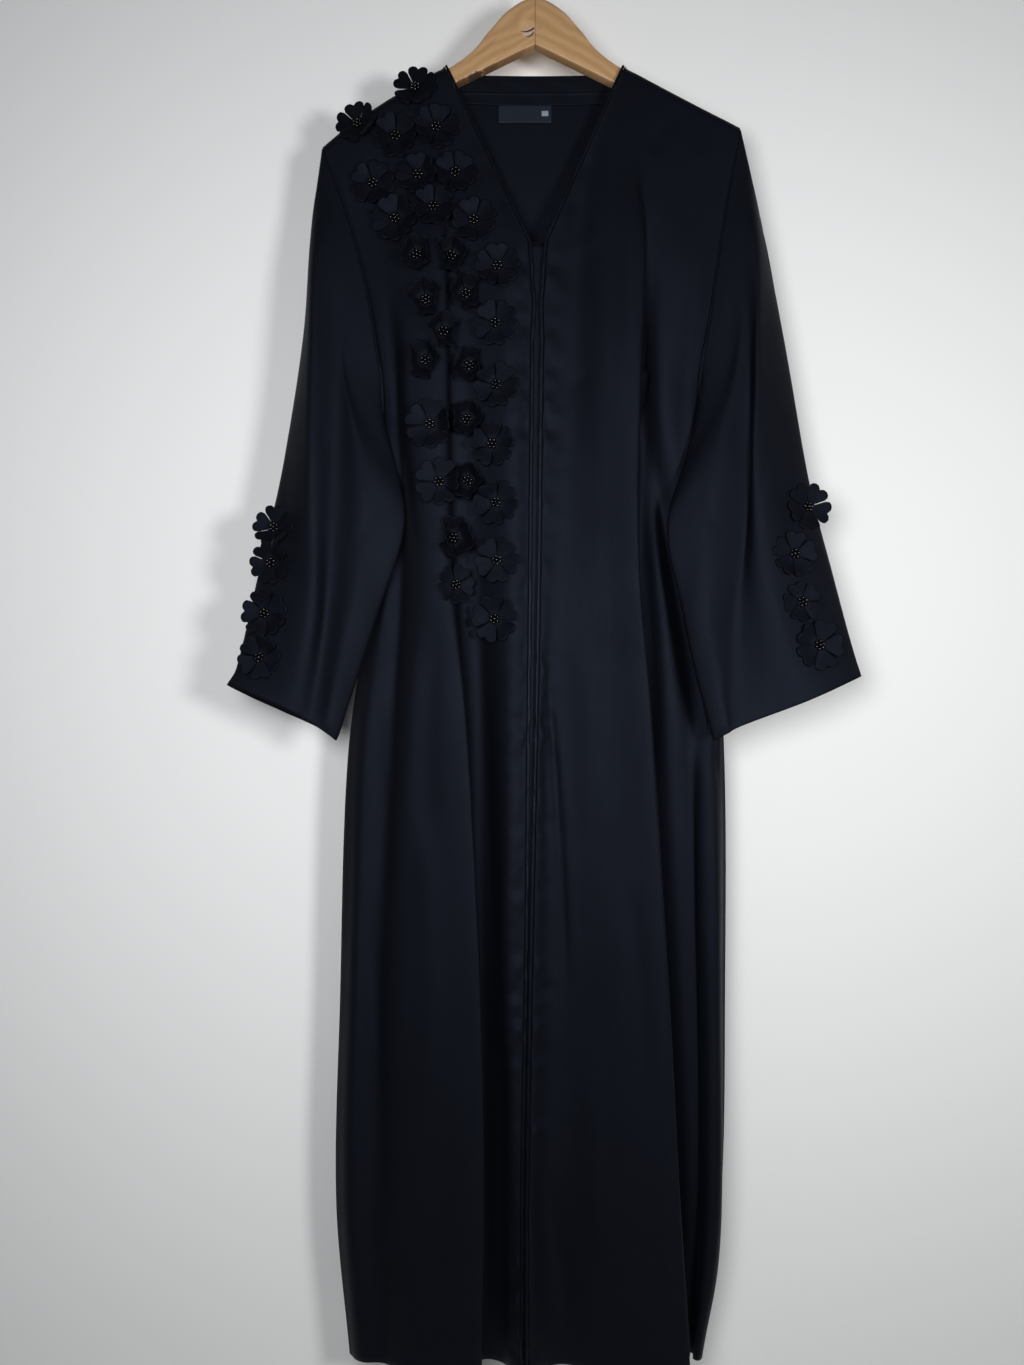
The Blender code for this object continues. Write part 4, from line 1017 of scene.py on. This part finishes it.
BEAD = dict(radius=1.85, ring=3.9, ring_of=6, seat=1.6)
for area in ("flower_bodice", "flower_cuff_left", "flower_cuff_right"):
    bm = bmesh.new()
    for flower in (f for f in flowers if f["node"].startswith(area)):
        spots = [(0.0, 0.0, 0.55)]      # one bead in the middle, a little higher, then the ring
        start = rng.uniform(0, math.tau)
        for k in range(BEAD["ring_of"]):
            turn = start + math.tau * k / BEAD["ring_of"]
            spots.append((BEAD["ring"] * math.cos(turn), BEAD["ring"] * math.sin(turn), rng.uniform(-.15, .25)))
        for a, b, rise in spots:
            at = Vector(flower["centre"] + flower["right"] * a + flower["up"] * b
                        + flower["normal"] * (BEAD["seat"] + CLEAR * 0.4 + rise)) * MM
            spin, tip = (Matrix.Rotation(rng.uniform(0, math.tau), 4, axis) for axis in "YX")
            radius = BEAD["radius"] * rng.uniform(.9, 1.08) * MM
            bmesh.ops.create_icosphere(bm, subdivisions=2, radius=radius,
                                       matrix=Matrix.Translation(at) @ (spin @ tip))
    faces = len(bm.faces)
    new_piece(bm, area.replace("flower", "crystals"), [CRYSTAL])
    print(area, "bead faces:", faces)

# %% [markdown]
# ## Seams and stitches
# Where two panels meet, the sewn seam shows as a soft cord of cloth in the groove. Hems and
# edges are held by thread. A stitch is a tiny stretched sphere, 2.4 mm long; hundreds of them
# in one mesh make a sewn line.


# %% Seam cords
def path_tube(path, radius, sides=7):
    """A thin round tube of points along a path."""
    tangent = np.gradient(path, axis=0)
    tangent /= np.linalg.norm(tangent, axis=1, keepdims=True)
    side = np.cross(tangent, (0.0, 1.0, 0.05))
    side /= np.linalg.norm(side, axis=1, keepdims=True)
    rise = np.cross(tangent, side)
    turn = np.linspace(0, 2 * math.pi, sides + 1)[None, :, None]
    return path[:, None] + radius * (side[:, None] * np.cos(turn) + rise[:, None] * np.sin(turn))


def seam_cord(path, name, radius):
    """The soft ridge of a sewn seam; it stands for no node of its own."""
    new_piece(tube_mesh(path_tube(path, radius)), name, [CREPE])


SEAM_CORD = 0.9
for side, name, column in ((1, "left", -1), (-1, "right", 0)):
    front, rear = sheets[name], sheets["back"][:, column]
    low = FRONT_ROWS >= UNDERARM
    seam_cord(((front[:, -1] + rear) / 2)[low], "seam_side_" + name, SEAM_CORD + 0.5)
    seam_cord(front[0] * (1, 0, 1), "seam_shoulder_" + name, SEAM_CORD)
    ring = sheets["sleeve_" + name][0].copy()
    ring[:, 0] -= side * 0.8
    seam_cord(ring, "seam_armhole_" + name, SEAM_CORD)
    under = slice(len(ring) // 2 - 12, len(ring) // 2 + 13)     # a thicker cord fills the corner there
    seam_cord(ring[under] - (side * 0.6, -1.4, 0), "seam_underarm_" + name, 2 * SEAM_CORD)

# %% Stitches
THREAD, tree, shader = finish_named("black_thread", Specular_IOR_Level=.18, Roughness=.55)
yarn = blend(tree, speckle(tree, 1500.0, 1.0), (.0022, .0028, .0042, 1), (.006, .0072, .0105, 1))
tree.links.new(yarn, shader.inputs["Base Color"])
STITCH = dict(long=2.4, gap=1.0, thick=0.32)
EDGE_LINE, CUFF_LINE = 1.6, 0.972       # mm in from the front edge, and share of the sleeve's length
SLEEVE_SEAM_LINES = (6.5, 9.0)          # mm from the sleeve's lower fold


def stitch_mesh():
    """One stitch, a sphere that sew stretches to a thread's shape."""
    bm = bmesh.new()
    bmesh.ops.create_uvsphere(bm, u_segments=6, v_segments=4, radius=1.0,
                              matrix=Matrix.Rotation(math.pi / 2, 4, "Y"))
    mesh = bpy.data.meshes.new("one_stitch")
    bm.to_mesh(mesh)
    bm.free()
    return mesh


ONE_STITCH = stitch_mesh()


def placed(bm, mesh, matrix):
    """A copy of a small mesh, put where the matrix says."""
    first = len(bm.verts)
    bm.from_mesh(mesh)
    bm.verts.ensure_lookup_table()
    for vertex in bm.verts[first:]:
        vertex.co = matrix @ vertex.co


def sew(bm, path, facing):
    """Stitches along a path, lying on the side that facing points to."""
    steps = np.linalg.norm(np.diff(path, axis=0), axis=1)
    reach = np.concatenate([[0], np.cumsum(steps)])
    pitch = STITCH["long"] + STITCH["gap"]
    for at in np.arange(pitch, reach[-1] - pitch, pitch):
        spot, ahead = (Vector([np.interp(d, reach, path[:, k]) for k in range(3)]) for d in (at, at + 1.0))
        normal = Vector([np.interp(at, reach, facing[:, k]) for k in range(3)]).normalized()
        along = (ahead - spot).normalized()
        side = along.cross(normal).normalized()
        sizes = (along * STITCH["long"] / 2, side * STITCH["thick"], normal * STITCH["thick"])
        axes = Matrix(sizes).transposed().to_4x4()
        placed(bm, ONE_STITCH, Matrix.Scale(MM, 4) @ Matrix.Translation(spot) @ axes)


def sew_flat(bm, ends, off):
    """Stitches from one spot (x, z) to another on the neck's inside, off(x, z) in front of the back."""
    (xa, za), (xb, zb), count = ends
    line = [(xa + (xb - xa) * t, za + (zb - za) * t) for t in np.linspace(0, 1, count)]
    sew(bm, np.array([lying(x, z, off(x, z)) for x, z in line]), np.tile((0.0, -1.0, 0.0), (count, 1)))


bm = bmesh.new()
for name in ("left", "right"):
    points, normal = sheets[name], facing_of(sheets[name], -1)
    sew(bm, inside_edge(points, EDGE_LINE) + normal[:, 1] * (CLOTH / 2), normal[:, 1])
edge_stitches = new_piece(bm, "stitches_front_edges", [THREAD])
bm = bmesh.new()
for name in ("sleeve_left", "sleeve_right"):
    points, normal = sheets[name], sheets[name + "_facing"]
    row = int(np.argmin(abs(SLEEVE_ROWS - CUFF_LINE)))
    sew(bm, points[row] + normal[row] * (CLOTH / 2), normal[row])
    half = len(SLEEVE_COLUMNS) // 2
    low = slice(int(0.45 * len(SLEEVE_ROWS)), None)
    for off in SLEEVE_SEAM_LINES:
        line = inside_edge(points[:, half::-1], off)[low]
        sew(bm, line + normal[low, half - 8] * (CLOTH / 2), normal[low, half - 8])
cuff_stitches = new_piece(bm, "stitches_cuffs", [THREAD])
bm = bmesh.new()
z = FACING_SEAM + 1.6
sew_flat(bm, ((-78, z), (78, z), 160), lambda x, z: 2.0 + CLOTH / 2 + 0.15)
x0, x1, z0, z1 = np.array(LABEL_BOX) + (0.8, -0.8, 0.8, -0.8)       # just inside the label's edge
corners = [(x0, z1), (x1, z1), (x1, z0), (x0, z0), (x0, z1)]
for start, end in zip(corners, corners[1:]):
    sew_flat(bm, (start, end, 40), lambda x, z: label_off(x, z) + 0.4)
neck_stitches = new_piece(bm, "stitches_neck", [THREAD])
print("stitch faces:", [len(o.data.polygons) for o in (edge_stitches, cuff_stitches, neck_stitches)])

# %% [markdown]
# ## The hanger
# Two bent wooden halves meet in the middle under a steel hook. A half is a rounded bar whose
# height and thickness change along the arm, so it is a tube of rounded oblongs. The wood is
# pale with a warm varnish; its grain runs down each arm and bends round one knot by the joint.

# %% Hanger tables
ARM = (
    dict(x=0.2, top=-65.0, bottom=-112.3, thick=14.0), dict(x=10, top=-66.5, bottom=-117.1, thick=14.0),
    dict(x=20, top=-71.8, bottom=-122.0, thick=14.0), dict(x=32, top=-81.0, bottom=-127.8, thick=14.0),
    dict(x=41, top=-91.4, bottom=-132.2, thick=14.0), dict(x=50, top=-101.7, bottom=-136.6, thick=14.0),
    dict(x=59, top=-113.5, bottom=-141.0, thick=14.0),
    dict(x=72, top=-125.4, bottom=-147.4, thick=14.0),
    dict(x=90, top=-137.5, bottom=-156.5, thick=13.6),
    dict(x=120, top=-154.5, bottom=-172.8, thick=13.2),
    dict(x=150, top=-171.5, bottom=-189.0, thick=12.8),
    dict(x=172, top=-185.0, bottom=-201.5, thick=12.4),
    dict(x=184, top=-193.5, bottom=-206.5, thick=11.0),
    dict(x=189, top=-198.5, bottom=-206.0, thick=7.0),
)
WIRE, HOOK_RADIUS, HOOK_FOOT = 3.5, 17.0, -64.6
JOINT = 0.17            # the halves are glued, so each comes this much nearer the middle
KNOT = Vector((-8.2, -7.0, -98.5)) * MM
ARM_SLOPE = math.radians(33)


def arm_points(side):
    """Rounded oblong sections from the centre joint to the tip."""
    stations = np.concatenate([np.linspace(0, 8, 65), np.linspace(8, 13, 51)[1:]])
    keys = np.array([[(row["x"], row["top"], row["bottom"]) for row in ARM]], float)
    thick = np.array([[(row["thick"], 0.0, 0.0) for row in ARM]], float)
    line, depth = across_lines(keys, stations)[0], across_lines(thick, stations)[0][:, 0]
    turn = np.linspace(0, 2 * math.pi, 41)
    grid = []
    for (x, top, bottom), t in zip(line, depth):
        half, mid = (top - bottom) / 2, (top + bottom) / 2
        soft = min(2.2, t / 2 * 0.8, half * 0.8)
        y = np.clip(np.cos(turn) * 40, -(t / 2 - soft), t / 2 - soft) + soft * np.cos(turn)
        z = np.clip(np.sin(turn) * 40, -(half - soft), half - soft) + soft * np.sin(turn)
        grid.append(np.stack([np.full_like(y, side * (x - JOINT)), y, mid + z], axis=1))
    return np.array(grid)


# %% Wood and steel
def vector_maths(tree, operation, *values):
    """Arithmetic on positions."""
    made = add(tree, "ShaderNodeVectorMath", dict(operation=operation))
    for socket, value in zip(made.inputs, values):
        fill(tree, socket, value)
    return made


def wood_group():
    """Growth rings along the arm that bend round the knot, fine pores, and nearness to the knot."""
    group, start, end = new_group("wood_grain", ("Vector", "Turn"), ("Rings", "Pores", "Knot"))
    place = start.outputs[0]
    turned = add(group, "ShaderNodeVectorRotate", dict(rotation_type="Y_AXIS"), Vector=place,
                 Angle=start.outputs[1])
    from_knot = vector_maths(group, "SUBTRACT", place, KNOT)
    squeezed = vector_maths(group, "MULTIPLY", from_knot.outputs[0], (0.8, 0.3, 1.25))
    far = vector_maths(group, "LENGTH", squeezed.outputs[0])
    near = maths(group, "POWER", 2.718, maths(group, "MULTIPLY", far.outputs["Value"], -150.0))
    axes = add(group, "ShaderNodeSeparateXYZ", Vector=turned.outputs[0])
    wander = add(group, "ShaderNodeTexNoise", Vector=turned.outputs[0], Scale=22.0, Detail=2.0)
    height = maths(group, "ADD", maths(group, "MULTIPLY", axes.outputs[2], 620.0),
                   maths(group, "MULTIPLY", wander.outputs["Fac"], 9.0))
    height = maths(group, "ADD", height, maths(group, "MULTIPLY", near, 14.0))
    rings = maths(group, "ADD", maths(group, "MULTIPLY", maths(group, "SINE", height), 0.5), 0.5)
    group.links.new(rings, end.inputs[0])
    long = add(group, "ShaderNodeMapping", Vector=turned.outputs[0], Scale=(60.0, 900.0, 900.0))
    pores = add(group, "ShaderNodeTexNoise", Vector=long.outputs[0], Scale=1.0, Detail=3.0,
                Roughness=0.65)
    group.links.new(pores.outputs["Fac"], end.inputs[1])
    group.links.new(near, end.inputs[2])
    return group


WOOD_GRAIN = wood_group()


def spot_mask(tree, place, x, z, wide, tall, turn=0.0, rough=0.0):
    """A soft oval mark on the board's front, 1 in its middle; sizes in millimetres."""
    off = add(tree, "ShaderNodeMapping", dict(vector_type="TEXTURE"), Vector=place,
              Location=(x * MM, 0, z * MM), Rotation=(0, -turn, 0), Scale=(wide * MM, 1, tall * MM))
    axes = add(tree, "ShaderNodeSeparateXYZ", Vector=off.outputs[0])
    far = maths(tree, "SQRT", maths(tree, "ADD", maths(tree, "POWER", axes.outputs[0], 2.0),
                                    maths(tree, "POWER", axes.outputs[2], 2.0)))
    if rough:
        ragged = add(tree, "ShaderNodeTexNoise", Vector=place, Scale=420.0, Detail=3.0)
        ragged = maths(tree, "SUBTRACT", ragged.outputs["Fac"], .5)
        far = maths(tree, "ADD", far, maths(tree, "MULTIPLY", ragged, rough))
    return add(tree, "ShaderNodeMapRange", dict(interpolation_type="SMOOTHSTEP"), Value=far,
               From_Min=1.12, From_Max=0.8, To_Min=0.0, To_Max=1.0).outputs[0]


KNOT_MARKS_AND_PAINTED_HIGHLIGHT = (      # the pale boss, a pale grey painted highlight below it, its dark crescent (one oval less another), and a second dark crescent at the hollow below
    dict(spot=(-7.5, -95.0, 9.5, 7.0, 0.15, .9), tone=(.52, .35, .19, 1), strength=.45),
    # painted highlight: this pale grey oval stands for light caught on the varnish, not for the wood's colour
    dict(spot=(-7.0, -101.0, 6.4, 3.8, 0.2, .6), tone=(.46, .38, .33, 1), strength=.7),
    dict(spot=(-7.8, -97.6, 7.4, 3.0, 0.2, .3),
         less=(-8.4, -95.9, 7.8, 3.0, 0.3, .2), tone=(.05, .025, .025, 1), strength=1),
    dict(spot=(-5.2, -102.4, 4.6, 2.4, 0.55, .3),
         less=(-6.2, -101.0, 4.8, 2.5, 0.6, .2), tone=(.07, .04, .035, 1), strength=.95),
)
# dark brown marks on one arm: four thin ones along its lower edge and a fainter one above them
LOW_EDGE_DARK_MARKS = (
    dict(spot=(-75, -150.2, 9.0, 2.6, .46, 1.6), tone=(.10, .045, .02, 1), strength=.85),
    dict(spot=(-62, -143.2, 9.0, 2.0, .46, 1.7), tone=(.05, .025, .018, 1), strength=.9),
    dict(spot=(-46, -135.2, 9.0, 1.3, .46, 1.4), tone=(.12, .06, .03, 1), strength=.8),
    dict(spot=(-30, -126.6, 24.0, 0.8, .46, .5), tone=(.20, .10, .045, 1), strength=.6),
    dict(spot=(-50, -116.0, 15.0, 1.6, .72, 1.2), tone=(.30, .15, .07, 1), strength=.4),
)


def wood(name, turn):
    """Varnished pale wood, its grain turned along one arm, with the knot and its painted highlight, dark marks
    along one arm's lower edge, and a glue line.
    """
    made, tree, shader = finish_named(name, Coat_Weight=.3, Coat_Roughness=.25, Specular_IOR_Level=.4)
    place = add(tree, "ShaderNodeTexCoord").outputs["Object"]
    grain = add(tree, "ShaderNodeGroup", dict(node_tree=WOOD_GRAIN), Vector=place, Turn=turn)
    colour = blend(tree, grain.outputs["Rings"], (.375, .218, .098, 1), (.450, .275, .138, 1))
    deep_pores = maths(tree, "MULTIPLY", maths(tree, "SUBTRACT", grain.outputs["Pores"], .38), 1.2)
    colour = blend(tree, deep_pores, colour, (.34, .18, .08, 1))
    for mark in KNOT_MARKS_AND_PAINTED_HIGHLIGHT + LOW_EDGE_DARK_MARKS:
        mask = spot_mask(tree, place, *mark["spot"])
        if "less" in mark:
            outside = maths(tree, "SUBTRACT", 1.0, spot_mask(tree, place, *mark["less"]))
            mask = maths(tree, "MULTIPLY", mask, outside)
        colour = blend(tree, maths(tree, "MULTIPLY", mask, mark["strength"]), colour, mark["tone"])
    glue = spot_mask(tree, place, 0.0, -90.0, .45, 60.0)
    colour = blend(tree, maths(tree, "MULTIPLY", glue, .3), colour, (.17, .085, .04, 1))
    tree.links.new(colour, shader.inputs["Base Color"])
    tree.links.new(spread(tree, grain.outputs["Pores"], .30, .48), shader.inputs["Roughness"])
    bumped(tree, shader, grain.outputs["Pores"], .00012, 0.5)
    return made


for side, name, turn in ((1, "left", -ARM_SLOPE), (-1, "right", ARM_SLOPE)):
    piece = new_piece(tube_mesh(arm_points(side)), "wooden_half_" + name, [wood("pale_wood_" + name, turn)])
    stands_for(piece, "hanger_" + name)

STEEL, tree, shader = finish_named("bright_steel", Base_Color=(.72, .72, .74, 1), Metallic=1.0)
tree.links.new(spread(tree, speckle(tree, 700.0), .16, .34), shader.inputs["Roughness"])


def hook_path():
    """Round the bend of the hook, then down its neck into the wood."""
    middle = WIRE / 2 - HOOK_RADIUS
    path = [(HOOK_RADIUS * math.cos(a), 0, middle + HOOK_RADIUS * math.sin(a))
            for a in np.radians(np.linspace(205, -45, 76))]
    start = path[-1]
    for t in np.linspace(0, 1, 25)[1:]:
        down = 20.0 * (t * 0.55 + t * t * 0.45)
        path.append((start[0] * (1 - t) ** 2 * (1 + 0.4 * t), 0, start[2] - down))
    path.append((0, 0, HOOK_FOOT))
    return np.array(path)


hook = new_piece(tube_mesh(path_tube(hook_path(), WIRE / 2, 20)), "steel_hook", [STEEL])
stands_for(hook, "hanger_hook")
print("hanger: two halves and a hook with", len(hook.data.polygons), "faces")

# %% [markdown]
# ## Cloth sizes
# The main sheets' area, width and length are printed where they are made, measured on their folds as they hang.

# %% [markdown]
# ## Wall, floor and lamps
# The hanger is 55 mm in front of a plain pale wall. A small lamp from the right and a wider one
# beside the camera light the garment, and a third, from behind, is for views of its back. The
# wall's back is see-through, so that those views can look at the garment.


# %% Stage
def plane(name, size, place):
    """A flat square of the stage, which isn't part of the garment."""
    bm = bmesh.new()
    bmesh.ops.create_grid(bm, x_segments=1, y_segments=1, size=size, matrix=place)
    mesh = bpy.data.meshes.new(name)
    bm.to_mesh(mesh)
    bm.free()
    made = bpy.data.objects.new(name, mesh)
    bpy.context.scene.collection.objects.link(made)
    return made


WALL_Y, FLOOR_Z, WALL_HALF, FLOOR_HALF = 0.055, -2.0, 6.0, 12.0     # metres
PAINT, tree, shader = finish_named("pale_wall_paint", Roughness=.8, Specular_IOR_Level=.2)
mottle = blend(tree, speckle(tree, 1.6), (.755, .755, .75, 1), (.795, .795, .79, 1))
tree.links.new(mottle, shader.inputs["Base Color"])
clear = add(tree, "ShaderNodeBsdfTransparent")
back_side = add(tree, "ShaderNodeNewGeometry").outputs["Backfacing"]
mix = add(tree, "ShaderNodeMixShader")
for place, value in enumerate((back_side, shader.outputs[0], clear.outputs[0])):
    fill(tree, mix.inputs[place], value)
tree.links.new(mix.outputs[0], tree.nodes["Material Output"].inputs["Surface"])
upright = Matrix.Translation((0, WALL_Y, FLOOR_Z + WALL_HALF)) @ Matrix.Rotation(math.pi / 2, 4, "X")
wall = plane("wall", WALL_HALF, upright)
wall.data.materials.append(PAINT)
wall.visible_shadow = False
floor = plane("floor", FLOOR_HALF, Matrix.Translation((0, 0, FLOOR_Z)))
FLOOR, tree, shader = finish_named("pale_floor", Base_Color=(.46, .46, .45, 1), Roughness=.8)
floor.data.materials.append(FLOOR)


def lamp(name, at, toward, size, power, colour):
    """A round soft lamp that the camera doesn't see; power is in watts."""
    data = bpy.data.lights.new(name, "AREA")
    data.shape, data.size, data.energy, data.color = "DISK", size, power, colour
    made = bpy.data.objects.new(name, data)
    made.location = at
    made.rotation_euler = (Vector(toward) - Vector(at)).to_track_quat("-Z", "Y").to_euler()
    made.visible_camera = False
    bpy.context.scene.collection.objects.link(made)


LAMPS = (
    dict(name="key", at=(0.66, -1.14, -0.66), toward=(0.02, 0.0, -0.68), size=0.30, power=9.8,
         colour=(.99, .995, 1.0)),
    dict(name="front", at=(-0.24, -1.14, -0.62), toward=(0.0, 0.0, -0.68), size=0.5, power=10.2,
         colour=(.97, .985, 1.0)),
    dict(name="rear", at=(0.7, 2.1, 0.9), toward=(0.0, 0.0, -0.7), size=1.0, power=50, colour=(1, 1, 1)),
)
for row in LAMPS:
    lamp(**row)
world = bpy.data.worlds.new("studio")
bpy.context.scene.world = world
world.use_nodes = True
sky = world.node_tree.nodes["Background"].inputs
sky["Color"].default_value, sky["Strength"].default_value = (.90, .93, 1.0, 1), 0.07
print("lamps:", [row["name"] for row in LAMPS])
